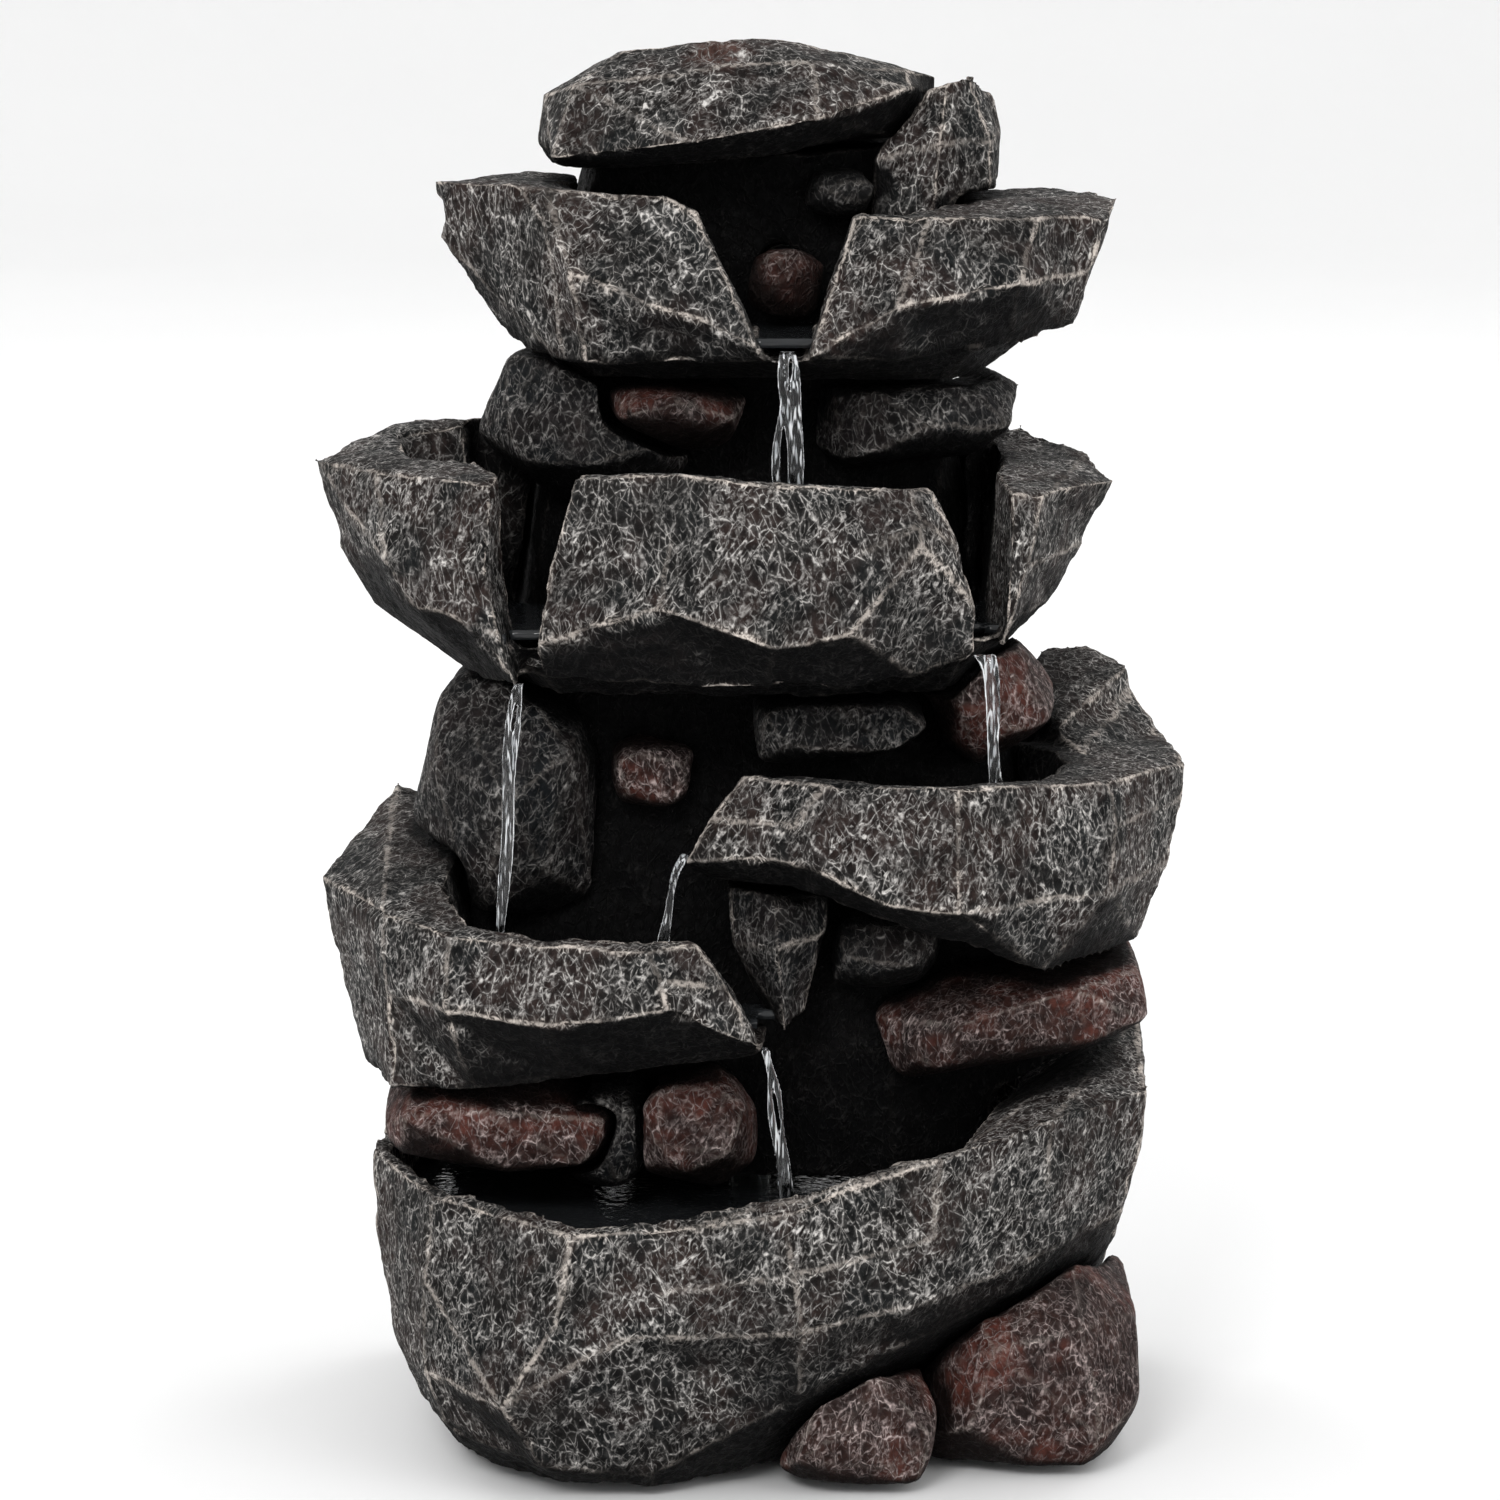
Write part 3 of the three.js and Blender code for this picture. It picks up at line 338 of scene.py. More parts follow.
# How much of the wide crackle shows in the paint of a stone, in place of the fine wrinkles.
COARSE = {"cap_rock": 0.9, "cap_side_rock": 0.8, "top_bowl": 0.6, "foot_rock_right": 0.5,
          "foot_rock_center": 0.5, "lower_left_red_rock": 0.5, "left_basin": 0.25}

# Painted shade per stone: how much of the pale brushing reaches a stone, and how far its paint stays clear
# of painted shade, where it is less than all of it.
LIGHT_AND_BRUSH_SHARE = {"column_shell": 0.35, "lower_pointed_rock": 0.85, "neck_rock": 0.6, "spout_rock": 0.55,
             "left_basin": 0.6, "right_basin": 0.58, "cap_rock": 0.62}


def in_box(node, shares):
    low, high = (np.array(corner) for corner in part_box(node))
    return low + (high - low) * np.array(shares)


# Strength in mm, size in mm and seed step of each noise that moves the painted edge lines sideways.
EDGE_SWAY = ((0.9, 7, 41), (0.4, 2.4, 43))
CHIP_EDGE = (0.4, 4.4)
GRAIN_SIZE = 4.6
GRAIN_WARP = 3.0
GRAIN_SQUASH = np.array([1, 1, 0.62])
WORN_TIP = (0.7, 1.6)
TIP_ROUNDS = 6
FACING_ROUNDS = 6
BOULDER_CREST = 0.25


def edge_sway(place, normals, seed):
    """A sideways shift along the surface, in mm, so that edge lines wander a little."""
    sway = np.stack([sum(strength * noise(place, size, seed + step * axis)
                         for strength, size, step in EDGE_SWAY) for axis in range(3)], axis=1)
    return sway - normals * np.sum(sway * normals, axis=1)[:, None]


def wrinkling(place, seed):
    """1 on the lines of a warped cell pattern, and 0 between them."""
    warp = np.stack([noise(place, 11, seed + 31 * axis) for axis in range(3)], axis=1)
    grain = (place + GRAIN_WARP * warp) * GRAIN_SQUASH
    return 1 - ramp(cell_edges(grain, GRAIN_SIZE, seed), 0.0, 0.32)


def chipping(place, edge, crest, seed):
    """How deep the chips are along the sharp edges, from 0 to 1."""
    chips = crest * (1 - ramp(edge, *CHIP_EDGE))
    return chips * np.clip(noise(place, 9, seed + 5) + 0.6 * noise(place, 3.6, seed + 6), 0, 1)


def relief_depth(node, shape, points, wrinkles, chips, seed):
    """How far in the weathered surface lies from the cast one at each point, in mm."""
    place = points / MM
    depth = shape["low"] * (0.5 + 0.5 * noise(place, 24, seed + 1))
    depth += shape["middle"] * (0.5 + 0.5 * noise(place, 8, seed + 2))
    depth += shape["wrinkle"] * (1 - wrinkles) * (0.6 + 0.4 * noise(place, 15, seed + 3))
    depth += shape["chips"] * chips
    for shares, halves in PITS.get(node, ()):
        away = (points - in_box(node, shares)) / MM / np.array(halves)
        depth += PIT_DEPTH * np.exp(-np.einsum("ij,ij->i", away, away))
    return depth


def worn_tips(points, pairs):
    """The points, with thin tips that stick out worn back."""
    worn = relaxed(points, pairs, TIP_ROUNDS)
    sticks_out = np.linalg.norm(points - worn, axis=1) / MM
    return points + (worn - points) * ramp(sticks_out, *WORN_TIP)[:, None]


def rusting(node, points, place, seed):
    if node not in RUST_SPOTS:
        return np.zeros(len(points))
    shares, reach = RUST_SPOTS[node]
    away = np.linalg.norm(points - in_box(node, shares), axis=1) / MM
    return 1 - ramp(away + 3 * noise(place, 6, seed + 9), 0.4 * reach, 1.2 * reach)


def weathered(node, seed):
    """A CAD stone as cast stone: chipped edges, undulating faces, fine wrinkles and pits."""
    shape = SLAB if node in SLABS else BOULDER
    source = frame["nodes"][node].data
    mesh = remeshed(source, shape["voxel"] * MM)
    pairs = edges_of(mesh)
    crisp = vertices_of(mesh)
    skin = relaxed(crisp, pairs, shape["rounds"])
    mesh.vertices.foreach_set("co", skin.ravel())
    mesh.update()
    normals = normals_of(mesh)

    place = skin / MM
    edge, crest = nearest_edge(crisp + MM * edge_sway(place, normals, seed), source)
    wrinkles = wrinkling(place, seed)
    chips = chipping(place, edge, crest, seed)
    depth = relief_depth(node, shape, skin, wrinkles, chips, seed)
    points = relaxed(skin - normals * depth[:, None] * MM, pairs, 1, 0.4)
    points = worn_tips(points, pairs)

    mesh.vertices.foreach_set("co", points.ravel())
    mesh.update()
    smooth_shading(mesh)
    facing = relaxed(normals_of(mesh), pairs, FACING_ROUNDS)
    store(mesh, "edge", edge)
    store(mesh, "crest", crest if shape is SLAB else BOULDER_CREST * crest)
    store(mesh, "wrinkle", wrinkles)
    store(mesh, "rust", rusting(node, points, place, seed))
    # How far the surface faces up: the paint darkens downward faces with painted shade and gives them less
    # pale brushing.
    store(mesh, "lean", facing[:, 2])
    store(mesh, "coarse", np.full(len(points), COARSE.get(node, 0.0)))
    # Openness times the stone's share: the paint darkens less open places with painted shade and gives them
    # less pale brushing.
    store(mesh, "open", LIGHT_AND_BRUSH_SHARE.get(node, 1.0) * openness(skin, normals, pairs))
    return mesh


# ---------------------------------------------------------------- node materials
class Nodes:
    """A material's node tree, with short calls for the nodes used here."""

    def __init__(self, name):
        self.material = bpy.data.materials.new(name)
        self.material.use_nodes = True
        self.tree = self.material.node_tree
        self.shader = self.tree.nodes["Principled BSDF"]

    def add(self, kind, **settings):
        node = self.tree.nodes.new(kind)
        for key, value in settings.items():
            setattr(node, key, value)
        return node

    def feed(self, socket, value):
        if isinstance(value, bpy.types.NodeSocket):
            self.tree.links.new(value, socket)
        else:
            socket.default_value = value

    def math(self, operation, first, second=0.0, clamp=False):
        node = self.add("ShaderNodeMath", operation=operation, use_clamp=clamp)
        self.feed(node.inputs[0], first)
        self.feed(node.inputs[1], second)
        return node.outputs[0]

    def spread(self, value, low, high, to_low=0.0, to_high=1.0):
        node = self.add("ShaderNodeMapRange", interpolation_type="SMOOTHSTEP")
        self.feed(node.inputs["Value"], value)
        for key, number in (("From Min", low), ("From Max", high), ("To Min", to_low), ("To Max", to_high)):
            node.inputs[key].default_value = number
        return node.outputs["Result"]

    def mix(self, share, first, second, blend="MIX"):
        node = self.add("ShaderNodeMix", data_type="RGBA", blend_type=blend)
        self.feed(node.inputs["Factor"], share)
        self.feed(node.inputs["A"], first)
        self.feed(node.inputs["B"], second)
        return node.outputs["Result"]

    def attribute(self, name):
        return self.add("ShaderNodeAttribute", attribute_name=name).outputs["Fac"]

    def coordinates(self, stretch=1.0, lean=0.0):
        """Object coordinates in mm, stretched along an axis that leans from upright, in degrees."""
        here = self.add("ShaderNodeTexCoord").outputs["Object"]
        mapping = self.add("ShaderNodeMapping", vector_type="TEXTURE")
        mapping.inputs["Scale"].default_value = (MM, MM, MM * stretch)
        mapping.inputs["Rotation"].default_value = (0, math.radians(lean), 0)
        self.feed(mapping.inputs["Vector"], here)
        return mapping.outputs["Vector"]

    def noise(self, vector, size, detail=2.0, output="Fac", warp=0.0):
        node = self.add("ShaderNodeTexNoise")
        self.feed(node.inputs["Vector"], vector)
        node.inputs["Scale"].default_value = 1 / size
        node.inputs["Detail"].default_value = detail
        node.inputs["Distortion"].default_value = warp
        return node.outputs[output]

    def shifted(self, vector, size, amount):
        """The vector, pushed about by noise."""
        push = self.add("ShaderNodeVectorMath", operation="MULTIPLY_ADD")
        self.feed(push.inputs[0], self.noise(vector, size, output="Color"))
        push.inputs[1].default_value = (amount,) * 3
        self.feed(push.inputs[2], vector)
        return push.outputs["Vector"]

    def contours(self, vector, size, width, detail=1.0):
        """Wriggling lines: 1 on a line and 0 away from it."""
        away = self.math("SUBTRACT", self.noise(vector, size, detail=detail), 0.5)
        return self.spread(self.math("ABSOLUTE", away), 0.0, width, 1.0, 0.0)

    def veins(self, vector, size, width, skirt):
        """Lines between scattered cells: 1 on a line, falling to 0 over a soft skirt."""
        node = self.add("ShaderNodeTexVoronoi", feature="DISTANCE_TO_EDGE")
        self.feed(node.inputs["Vector"], vector)
        node.inputs["Scale"].default_value = 1 / size
        core = self.spread(node.outputs["Distance"], 0.0, width, 1.0, 0.0)
        around = self.spread(node.outputs["Distance"], 0.0, 3.5 * width, skirt, 0.0)
        return self.math("MAXIMUM", core, around)

    def bump(self, height, distance, strength=1.0):
        node = self.add("ShaderNodeBump")
        self.feed(node.inputs["Height"], height)
        node.inputs["Distance"].default_value = distance
        node.inputs["Strength"].default_value = strength
        self.feed(self.shader.inputs["Normal"], node.outputs["Normal"])

    def done(self, **settings):
        for key, value in settings.items():
            self.feed(self.shader.inputs[key.replace("_", " ")], value)
        return self.material


BRUSHED = (0.60, 0.575, 0.55, 1)
BRUSHED_EDGE = (0.62, 0.555, 0.50, 1)
STROKE_STRENGTH = 1.25
# In mm from a sharp edge: where the pale line on it fades out, and where the denser strokes beside it do.
RIM_LINE = (0.45, 1.4)
RIM_GLOW = (0.8, 3.6)
# Painted shade: the height of the surface's normal, and how open it is, from where the paint turns fully to
# its painted shade colour to where it is full.
UNDERSIDE_SHADE_FADE = (-0.62, -0.17)
CREVICE_SHADE_FADE = (0.16, 0.6)


def stone_paint(name, exposed, painted_shade, tint, tint_share, brush, brushed=BRUSHED):
    """Dark paint with light paint dragged over it, so that it stays on the ridges and wrinkles. Crevices
    and downward faces are darkened towards a painted shade colour and take less of the light paint.
    """
    nodes = Nodes(name)
    plain = nodes.coordinates()
    upright = nodes.shifted(nodes.coordinates(stretch=2.0, lean=4), 3.0, 1.8)
    rising = nodes.shifted(nodes.coordinates(stretch=3.3, lean=33), 5.0, 1.8)
    falling = nodes.shifted(nodes.coordinates(stretch=3.0, lean=-29), 5.0, 1.8)

    def broken(size, low, high, to_low=0.0, to_high=1.0):
        return nodes.spread(nodes.noise(plain, size, detail=3.0), low, high, to_low, to_high)

    def product(*factors):
        total = factors[0]
        for factor in factors[1:]:
            total = nodes.math("MULTIPLY", total, factor)
        return total

    turned = broken(15, 0.42, 0.58)
    against = nodes.math("SUBTRACT", 1.0, nodes.math("MULTIPLY", turned, 0.75))
    coarse = nodes.attribute("coarse")
    slanted = nodes.math("MAXIMUM",
                         nodes.math("MULTIPLY", nodes.contours(rising, 2.5, 0.055), turned),
                         nodes.math("MULTIPLY", nodes.veins(falling, 3.0, 0.07, 0.08), against))
    slanted = product(slanted, broken(2.0, 0.38, 0.56, 0.1, 1.1),
                      nodes.spread(coarse, 0.0, 1.0, 1.0, 0.4))
    fine = product(nodes.contours(upright, 2.1, 0.07), broken(2.6, 0.44, 0.6), 0.6)
    broad = product(nodes.veins(upright, 4.6, 0.055, 0.1), broken(5.0, 0.4, 0.55),
                    nodes.spread(coarse, 0.0, 1.0, 0.75, 1.3))
    speckle = broken(1.1, 0.36, 0.6, 0.3, 1.0)
    patches = broken(20, 0.36, 0.62, 0.5, 1.05)

    relief = nodes.math("MAXIMUM", nodes.math("MAXIMUM", fine, slanted), broad)
    on_wrinkle = nodes.spread(nodes.attribute("wrinkle"), 0.0, 1.0, 0.65, 1.1)
    strokes = product(relief, speckle, patches, on_wrinkle, STROKE_STRENGTH)

    crest = nodes.math("MULTIPLY", nodes.attribute("crest"), broken(9, 0.36, 0.6, 0.2, 1.0))
    beside = nodes.math("MULTIPLY", nodes.spread(nodes.attribute("edge"), *RIM_GLOW, 1.0, 0.0), crest)
    glow = nodes.math("ADD", 0.85, nodes.math("MULTIPLY", beside, 0.7))
    strokes = nodes.math("MULTIPLY", strokes, glow)
    line = nodes.math("MULTIPLY", nodes.spread(nodes.attribute("edge"), *RIM_LINE, 1.0, 0.0), crest)
    line = nodes.math("MULTIPLY", line, broken(1.3, 0.38, 0.56, 0.1, 1.0))

    # Painted shade and real brushing: downward faces and less open places get a low reach. That darkens
    # them towards the painted shade colour and gives them less pale brushing.
    facing = nodes.spread(nodes.attribute("lean"), *UNDERSIDE_SHADE_FADE, 0.0, 1.0)
    lit_where_open = nodes.spread(nodes.attribute("open"), *CREVICE_SHADE_FADE)
    reach = nodes.math("MULTIPLY", facing, lit_where_open)
    brushing = nodes.spread(reach, 0.0, 1.0, 0.035 * brush, brush)

    base = nodes.mix(broken(17, 0.35, 0.65), exposed + (1,),
                     tuple(value * share for value, share in zip(exposed, (0.75, 0.98, 1.1))) + (1,))
    reddish = nodes.spread(nodes.noise(nodes.shifted(plain, 30, 20), 21, detail=2.0), 0.44, 0.62)
    reddish = nodes.math("MULTIPLY", reddish, tint_share)
    reddish = nodes.math("MAXIMUM", reddish, nodes.attribute("rust"))
    base = nodes.mix(reddish, base, tint + (1,))
    base = nodes.mix(1.0, base, broken(3.0, 0.3, 0.7, 0.45, 1.3), "MULTIPLY")
    # Painted shade: the base turns to the painted shade colour where reach is low.
    base = nodes.mix(reach, painted_shade + (1,), base)
    stroke_colour = nodes.mix(beside, brushed, BRUSHED_EDGE)
    colour = nodes.mix(nodes.math("MULTIPLY", strokes, brushing, clamp=True), base, stroke_colour)
    edge_light = nodes.math("MULTIPLY", line, nodes.spread(reach, 0.0, 1.0, 0.04, 0.9))
    colour = nodes.mix(nodes.math("MULTIPLY", edge_light, brush, clamp=True), colour, BRUSHED_EDGE)

    rough = nodes.spread(nodes.noise(plain, 2.4, detail=2.0), 0.3, 0.7, 0.6, 0.85)
    pores = nodes.noise(plain, 0.6, detail=2.0)
    height = nodes.math("ADD", relief, nodes.math("MULTIPLY", pores, 0.35))
    nodes.bump(height, 0.6 * MM)
    return nodes.done(Base_Color=colour, Roughness=rough, Specular_IOR_Level=0.08)


def moulded(name, colour, roughness, grain, coat=0.0):
    """A moulded plastic, rubber or ceramic with slight mottling and a fine surface grain."""
    nodes = Nodes(name)
    plain = nodes.coordinates()
    mottle = nodes.noise(plain, 6, detail=3.0)
    darker = tuple(0.72 * value for value in colour[:3]) + (1,)
    shade = nodes.mix(nodes.spread(mottle, 0.35, 0.65), colour, darker)
    rough = nodes.spread(nodes.noise(plain, 1.2), 0.3, 0.7, roughness - 0.06, roughness + 0.08)
    nodes.bump(nodes.noise(plain, grain, detail=2.0), 0.05 * MM)
    return nodes.done(Base_Color=shade, Roughness=rough, Coat_Weight=coat)


def layered_metal(name, colour, roughness, pitch):
    """Thin layers or turns of metal, seen edge on."""
    nodes = Nodes(name)
    wave = nodes.add("ShaderNodeTexWave", wave_type="BANDS", bands_direction="Z")
    nodes.feed(wave.inputs["Vector"], nodes.coordinates())
    wave.inputs["Scale"].default_value = 1 / pitch
    wave.inputs["Distortion"].default_value = 0.4
    bands = wave.outputs["Fac"]
    shade = nodes.mix(bands, tuple(0.45 * value for value in colour[:3]) + (1,), colour)
    nodes.bump(bands, 0.12 * MM)
    return nodes.done(Base_Color=shade, Roughness=roughness, Metallic=1.0)


def clear_vinyl():
    nodes = Nodes("clear_vinyl")
    cloud = nodes.spread(nodes.noise(nodes.coordinates(), 5, detail=3.0), 0.3, 0.7)
    shade = nodes.mix(cloud, (0.62, 0.68, 0.7, 1), (0.78, 0.82, 0.82, 1))
    nodes.bump(cloud, 0.05 * MM)
    return nodes.done(Base_Color=shade, Roughness=0.22, Transmission_Weight=0.7, IOR=1.45)


def falling_water():
    """Clear water with thin whitish streaks of trapped air."""
    nodes = Nodes("falling_water")
    rows = nodes.coordinates(stretch=9)
    streaks = nodes.spread(nodes.noise(rows, 0.8, detail=1.0, warp=0.2), 0.54, 0.72)
    nodes.bump(nodes.noise(rows, 1.6, detail=1.0), 0.08 * MM)
    shade = nodes.mix(streaks, (0.88, 0.90, 0.92, 1), (0.76, 0.78, 0.80, 1))
    clear = nodes.spread(streaks, 0.0, 1.0, 1.0, 0.3)
    return nodes.done(Base_Color=shade, Roughness=0.1, Transmission_Weight=clear, IOR=1.33)


def pooled_water():
    """A shallow pool that mostly shows the dark bowl under it."""
    nodes = Nodes("pooled_water")
    plain = nodes.coordinates()
    shade = nodes.mix(nodes.noise(plain, 9), (0.010, 0.011, 0.012, 1), (0.026, 0.028, 0.030, 1))
    nodes.bump(nodes.noise(plain, 3.0, detail=1.0), 0.15 * MM)
    return nodes.done(Base_Color=shade, Roughness=0.07, Specular_IOR_Level=0.35)


# Each stone paint gets its base colour, its painted shade colour for crevices and downward faces, its tint,
# the tint's share, how much it is brushed and, for red stone, its brushed colour.
MATERIALS = {
    "grey_stone": stone_paint("grey_stone", (0.0082, 0.0073, 0.0068), (0.0010, 0.0010, 0.0012),
                              (0.050, 0.025, 0.020), 0.25, 1.0),
    "dark_stone": stone_paint("dark_stone", (0.0062, 0.0059, 0.0062), (0.0009, 0.0009, 0.0010),
                              (0.020, 0.012, 0.011), 0.3, 0.46),
    "red_stone": stone_paint("red_stone", (0.024, 0.0115, 0.0095), (0.0040, 0.0020, 0.0017),
                             (0.070, 0.021, 0.015), 0.9, 0.75, (0.58, 0.47, 0.45, 1)),
    "black_plastic": moulded("black_plastic", (0.014, 0.014, 0.016, 1), 0.42, 0.35),
    "white_plastic": moulded("white_plastic", (0.66, 0.67, 0.68, 1), 0.38, 0.4),
    "black_rubber": moulded("black_rubber", (0.012, 0.012, 0.012, 1), 0.8, 0.3),
    "ceramic": moulded("ceramic", (0.78, 0.77, 0.73, 1), 0.25, 0.3, coat=0.5),
    "core_steel": layered_metal("core_steel", (0.13, 0.13, 0.14, 1), 0.5, 2.2),
    "copper": layered_metal("copper", (0.72, 0.30, 0.14, 1), 0.32, 1.6),
    "clear_vinyl": clear_vinyl(),
    "water": falling_water(),
    "still_water": pooled_water(),
}


def finish_piece(piece, slot, body, material=None):
    piece.data.materials.clear()
    piece.data.materials.append(MATERIALS[material or slot])
    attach(piece, body)


def add_stones():
    for number, node in enumerate(STONES):
        mesh = weathered(node, 100 + 17 * number)
        piece = link(bpy.data.objects.new(node + "_stone", mesh))
        finish_piece(piece, SLOT_OF[node], BODY_OF[node])
        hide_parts(node)


def paint_cad_nodes():
    """The pump, hose, pads and bushes keep their CAD shape and take a better material."""
    for node, obj in frame["nodes"].items():
        if node not in STONES:
            obj.data.materials.clear()
            obj.data.materials.append(MATERIALS[SLOT_OF[node]])


add_stones()
paint_cad_nodes()

# ---------------------------------------------------------------- pooled water
POOL_GRID = 2 * MM
POOL_DEPTH = 2.5 * MM
# How far a pool stops short of a spout's edge, in grid cells.
SPOUT_GAP = 2
RIPPLE_HEIGHT = 0.9 * MM
RIPPLE_LENGTH = 1.5 * MM
RIPPLE_REACH = 16 * MM


def grid_point(low, cell, level):
    return Vector((low[0] + cell[0] * POOL_GRID, low[1] + cell[1] * POOL_GRID, level))


def inside_stone(point):
    up = Vector((0, 0, 1))
    spot, normal, _, _ = STONE_TREE.ray_cast(point, up)
    return spot is not None and normal.dot(up) > 0


def pool_cells(bowl, level):
    """Grid cells at a water level that are open and have the bowl's floor under them."""
    low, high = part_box(bowl)
    floor = joined_tree([bowl])
    columns = int((high[0] - low[0]) / POOL_GRID) + 1
    rows = int((high[1] - low[1]) / POOL_GRID) + 1
    wet = set()
    for i in range(columns):
        for j in range(rows):
            point = grid_point(low, (i, j), level)
            below, normal, _, _ = floor.ray_cast(point, Vector((0, 0, -1)))
            if below is not None and normal.z > 0 and not inside_stone(point):
                wet.add((i, j))
    return low, wet


def largest_patch(cells):
    """The largest group of cells that touch each other."""
    left = set(cells)
    best = set()
    while left:
        patch = {left.pop()}
        edge = list(patch)
        while edge:
            i, j = edge.pop()
            for near in ((i + 1, j), (i - 1, j), (i, j + 1), (i, j - 1)):
                if near in left:
                    left.remove(near)
                    patch.add(near)
                    edge.append(near)
        if len(patch) > len(best):
            best = patch
    return best


def widened(cells, steps):
    reach = range(-steps, steps + 1)
    return {(i + a, j + b) for i, j in cells for a in reach for b in reach}


def add_pool(name, bowl, level, drops):
    """A thin closed sheet of water with its rim in the stone, rippled where water lands."""
    low, wet = pool_cells(bowl, level)
    wet = largest_patch(wet)
    beside = widened(wet, 1) - wet
    rim = {cell for cell in beside if inside_stone(grid_point(low, cell, level))}
    wet = (wet | rim) - widened(beside - rim, SPOUT_GAP)
    mesh = bpy.data.meshes.new(name)
    build = bmesh.new()
    corners = {}

    def corner(i, j, layer):
        key = (i, j, layer)
        if key not in corners:
            x = low[0] + (i - 0.5) * POOL_GRID
            y = low[1] + (j - 0.5) * POOL_GRID
            ripple = 0.0
            for drop in drops:
                away = math.hypot(x - drop[0], y - drop[1])
                ripple += RIPPLE_HEIGHT * math.cos(away / RIPPLE_LENGTH) * math.exp(-away / RIPPLE_REACH)
            height = level + ripple if layer else level - POOL_DEPTH
            corners[key] = build.verts.new((x, y, height))
        return corners[key]

    for i, j in sorted(wet):
        build.faces.new([corner(i + a, j + b, 1) for a, b in ((0, 0), (1, 0), (1, 1), (0, 1))])
        build.faces.new([corner(i + a, j + b, 0) for a, b in ((0, 0), (0, 1), (1, 1), (1, 0))])
        sides = (((0, 0), (1, 0), (0, -1)), ((1, 0), (1, 1), (1, 0)),
                 ((1, 1), (0, 1), (0, 1)), ((0, 1), (0, 0), (-1, 0)))
        for start, end, out in sides:
            if (i + out[0], j + out[1]) in wet:
                continue
            ends = [(i + a, j + b) for a, b in (end, start)]
            build.faces.new([corner(*ends[0], 1), corner(*ends[1], 1), corner(*ends[1], 0),
                             corner(*ends[0], 0)])
    bmesh.ops.recalc_face_normals(build, faces=build.faces)
    build.to_mesh(mesh)
    build.free()
    smooth_shading(mesh)
    piece = link(bpy.data.objects.new(name, mesh))
    finish_piece(piece, "water", "fountain", "still_water")


# ---------------------------------------------------------------- falling water
FALL_STEPS = 64
FALL_SIDES = 10
FALL_VOXEL = 0.45 * MM
FALL_ROUNDS = 2
LIP_SHARE = 0.2
DROP_CURVE = 1.6


def fall_path(start, lip, end, share):
    """Along the lip, then down a parabola."""
    if share < LIP_SHARE:
        return start.lerp(lip, share / LIP_SHARE)
    part = (share - LIP_SHARE) / (1 - LIP_SHARE)
    point = lip.lerp(end, part)
    point.z = lip.z + (end.z - lip.z) * part**DROP_CURVE
    return point


def add_fall(name, start, lip, end, width, strands, seed):
    """Strands of water that run side by side with a little sway, melted into one skin."""
    build = bmesh.new()
    for strand in range(strands):
        phase = 2.3 * strand + seed
        side_step = (strand - (strands - 1) / 2) / strands
        rings = []
        for step in range(FALL_STEPS + 1):
            share = step / FALL_STEPS
            sway = 0.16 * math.sin(7 * share + phase) + 0.08 * math.sin(17 * share + 2 * phase)
            closing = 1 - 0.35 * math.sin(math.pi * min(1, share * 1.3)) * math.sin(seed + 5 * share) ** 2
            swell = 1 + 0.2 * math.sin(9 * share + phase * 2) + 0.14 * math.sin(23 * share + phase)
            taper = min(1.0, 0.5 + 4 * share, 0.3 + 5 * (1 - share))
            radius = 0.62 * width / strands * swell * taper
            shift = Vector((side_step * closing + sway, 0.35 * math.cos(5 * share + phase), 0)) * width
            middle = fall_path(start, lip, end, share) + Vector((shift.x, 0.3 * shift.y, 0))
            ring = []
            for side in range(FALL_SIDES):
                angle = 2 * math.pi * side / FALL_SIDES
                flat = Vector((math.cos(angle), 0.6 * math.sin(angle), 0)) * radius
                ring.append(build.verts.new(middle + flat))
            rings.append(ring)
        for above, below in zip(rings, rings[1:]):
            for side in range(FALL_SIDES):
                after = (side + 1) % FALL_SIDES
                build.faces.new((above[side], above[after], below[after], below[side]))
        build.faces.new(rings[0][::-1])
        build.faces.new(rings[-1])
    bmesh.ops.recalc_face_normals(build, faces=build.faces)
    rough = bpy.data.meshes.new(name + "_rough")
    build.to_mesh(rough)
    build.free()
    mesh = remeshed(rough, FALL_VOXEL)
    points = relaxed(vertices_of(mesh), edges_of(mesh), FALL_ROUNDS)
    mesh.vertices.foreach_set("co", points.ravel())
    mesh.update()
    smooth_shading(mesh)
    piece = link(bpy.data.objects.new(name, mesh))
    finish_piece(piece, "water", "fountain")


def spot(node, x, y, z):
    """A point in a node's box: x and y from its low corner and z from its bottom, in mm."""
    low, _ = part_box(node)
    return Vector((low[0] + x * MM, low[1] + y * MM, low[2] + z * MM))


# Each pool's bowl, and the height of its water over the bottom of that bowl, in mm.
POOLS = {
    "lower": ("lower_basin", 70),
    "left": ("left_basin", 25),
    "right": ("right_basin", 39),
    "middle": ("middle_bowl", 22),
    "top": ("top_bowl", 16),
}


def level_of(pool):
    bowl, height = POOLS[pool]
    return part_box(bowl)[0][2] + height * MM


def landing(pool, above, x, y):
    """Where a fall meets a pool, shifted from the point above it, in mm."""
    return Vector((above.x + x * MM, above.y + y * MM, level_of(pool) - 0.5 * MM))


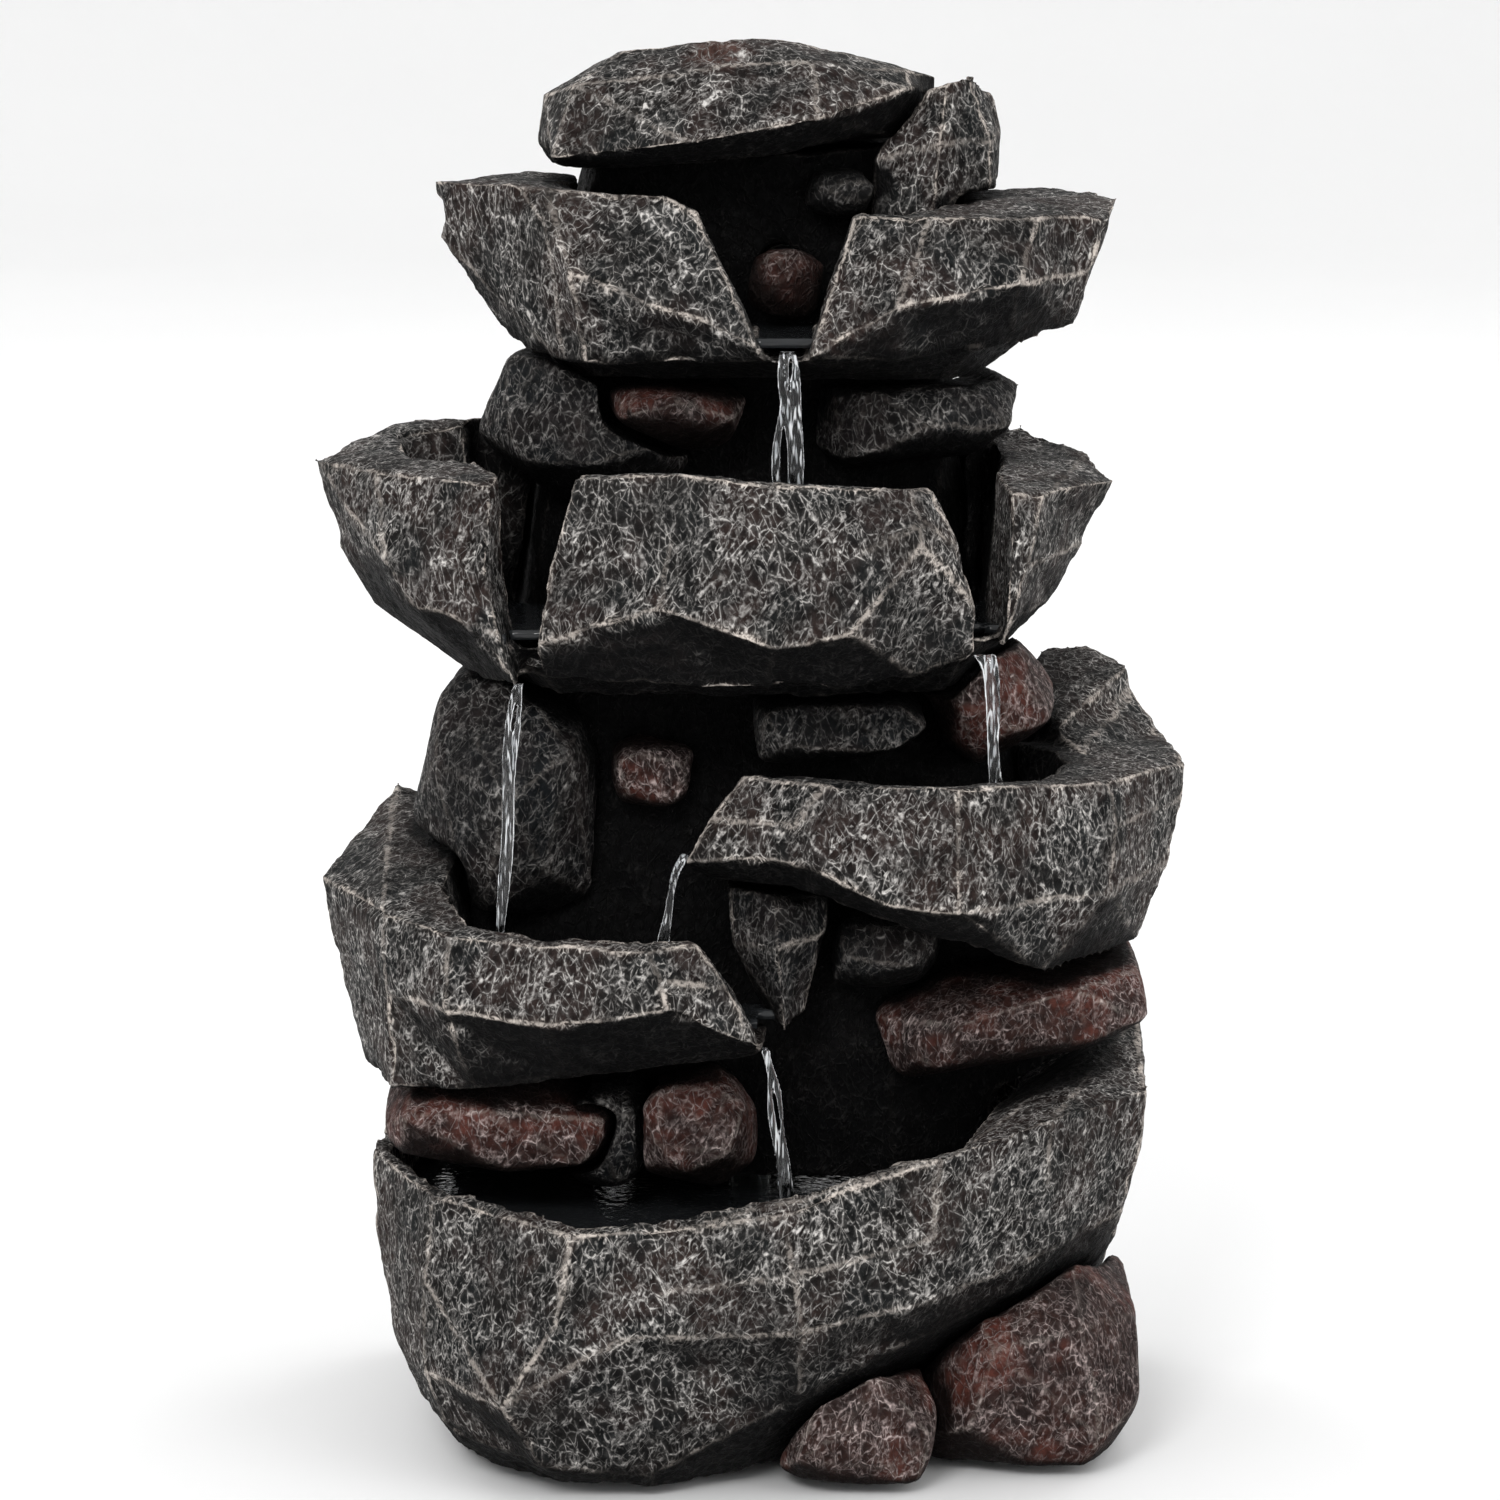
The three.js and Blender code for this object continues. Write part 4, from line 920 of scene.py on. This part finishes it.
def add_water():
    """The falls, each from a lip to a pool, and the pools that they land in.

    Each fall has its lip, its pool, how far it lands from the lip, its width, its number of strands,
    and how far behind the lip it starts, in mm.
    """
    top_lip = spot("top_bowl", 100, 0, 13)
    left_lip = spot("middle_bowl", 61, 21, 9)
    right_lip = spot("middle_bowl", 188.5, 20, 17)
    small_lip = spot("right_basin", 1, 24, 35)
    lower_lip = spot("left_basin", 127, 9, 21)
    falls = {
        "top_fall": (top_lip, "middle", (1, -7), 6.2, 3, (0, 12, 2)),
        "left_fall": (left_lip, "left", (-7, -6), 3.2, 2, (1, 11, -1)),
        "right_fall": (right_lip, "right", (4, -4), 4.4, 2, (-1, 10, 1)),
        "small_fall": (small_lip, "left", (-9, -7), 2.9, 2, (6, 4, 2)),
        "lower_fall": (lower_lip, "lower", (7, 1), 3.2, 2, (-2, 12, 1)),
    }
    drops = {pool: [] for pool in POOLS}
    for number, (name, (lip, pool, shift, width, strands, back)) in enumerate(falls.items()):
        end = landing(pool, lip, *shift)
        start = lip + Vector(back) * MM
        add_fall(name, start, lip, end, width * MM, strands, 1.7 * number)
        drops[pool].append(end)
    for pool, (bowl, _) in POOLS.items():
        add_pool(pool + "_pool", bowl, level_of(pool), drops[pool])


add_water()

# ---------------------------------------------------------------- stage and light
STAGE_RADIUS = 5.0
STAGE_CURVE = 1.5
STAGE_WALL = 3.2
CURVE_STEPS = 12
STAGE_TURNS = 96


def pale_paint():
    nodes = Nodes("stage")
    tone = nodes.spread(nodes.noise(nodes.coordinates(), 400, detail=2.0), 0.3, 0.7)
    shade = nodes.mix(tone, (0.87, 0.87, 0.87, 1), (0.88, 0.88, 0.88, 1))
    return nodes.done(Base_Color=shade, Roughness=0.9)


def add_stage():
    """A round floor whose rim curves up into a wall."""
    profile = [(0.0, 0.0), (STAGE_RADIUS - STAGE_CURVE, 0.0)]
    for step in range(1, CURVE_STEPS + 1):
        angle = math.pi / 2 * step / CURVE_STEPS
        profile.append((STAGE_RADIUS - STAGE_CURVE + STAGE_CURVE * math.sin(angle),
                        STAGE_CURVE * (1 - math.cos(angle))))
    profile.append((STAGE_RADIUS, STAGE_WALL))
    build = bmesh.new()
    line = [build.verts.new((x, 0, z)) for x, z in profile]
    edges = [build.edges.new(pair) for pair in zip(line, line[1:])]
    bmesh.ops.spin(build, geom=line + edges, axis=(0, 0, 1), cent=(0, 0, 0), steps=STAGE_TURNS,
                   angle=2 * math.pi, use_merge=True)
    bmesh.ops.remove_doubles(build, verts=build.verts, dist=1e-5)
    mesh = bpy.data.meshes.new("stage")
    build.to_mesh(mesh)
    build.free()
    smooth_shading(mesh)
    mesh.materials.append(pale_paint())
    link(bpy.data.objects.new("stage", mesh))


def add_light(name, place, size, power):
    lamp = bpy.data.lights.new(name, "AREA")
    lamp.size = size
    lamp.energy = power
    obj = link(bpy.data.objects.new(name, lamp))
    obj.location = place
    obj.rotation_euler = (AIM - Vector(place)).to_track_quat("-Z", "Y").to_euler()


WORLD_STRENGTH = 1.0
# Place, size in metres and power in watts.
LIGHTS = {
    "key": ((-0.7, -2.4, 1.9), 0.9, 34),
    "fill": ((2.0, -1.8, 1.2), 1.4, 14),
    "back_left": ((-1.8, 2.0, 1.8), 1.2, 14),
    "back_right": ((1.8, 2.0, 1.8), 1.2, 14),
}


def add_lights():
    world = bpy.data.worlds.new("world")
    world.use_nodes = True
    world.node_tree.nodes["Background"].inputs["Color"].default_value = (1, 1, 1, 1)
    world.node_tree.nodes["Background"].inputs["Strength"].default_value = WORLD_STRENGTH
    bpy.context.scene.world = world
    for name, (place, size, power) in LIGHTS.items():
        add_light(name, place, size, power)


add_stage()
add_lights()
bpy.context.scene.view_settings.view_transform = "Standard"
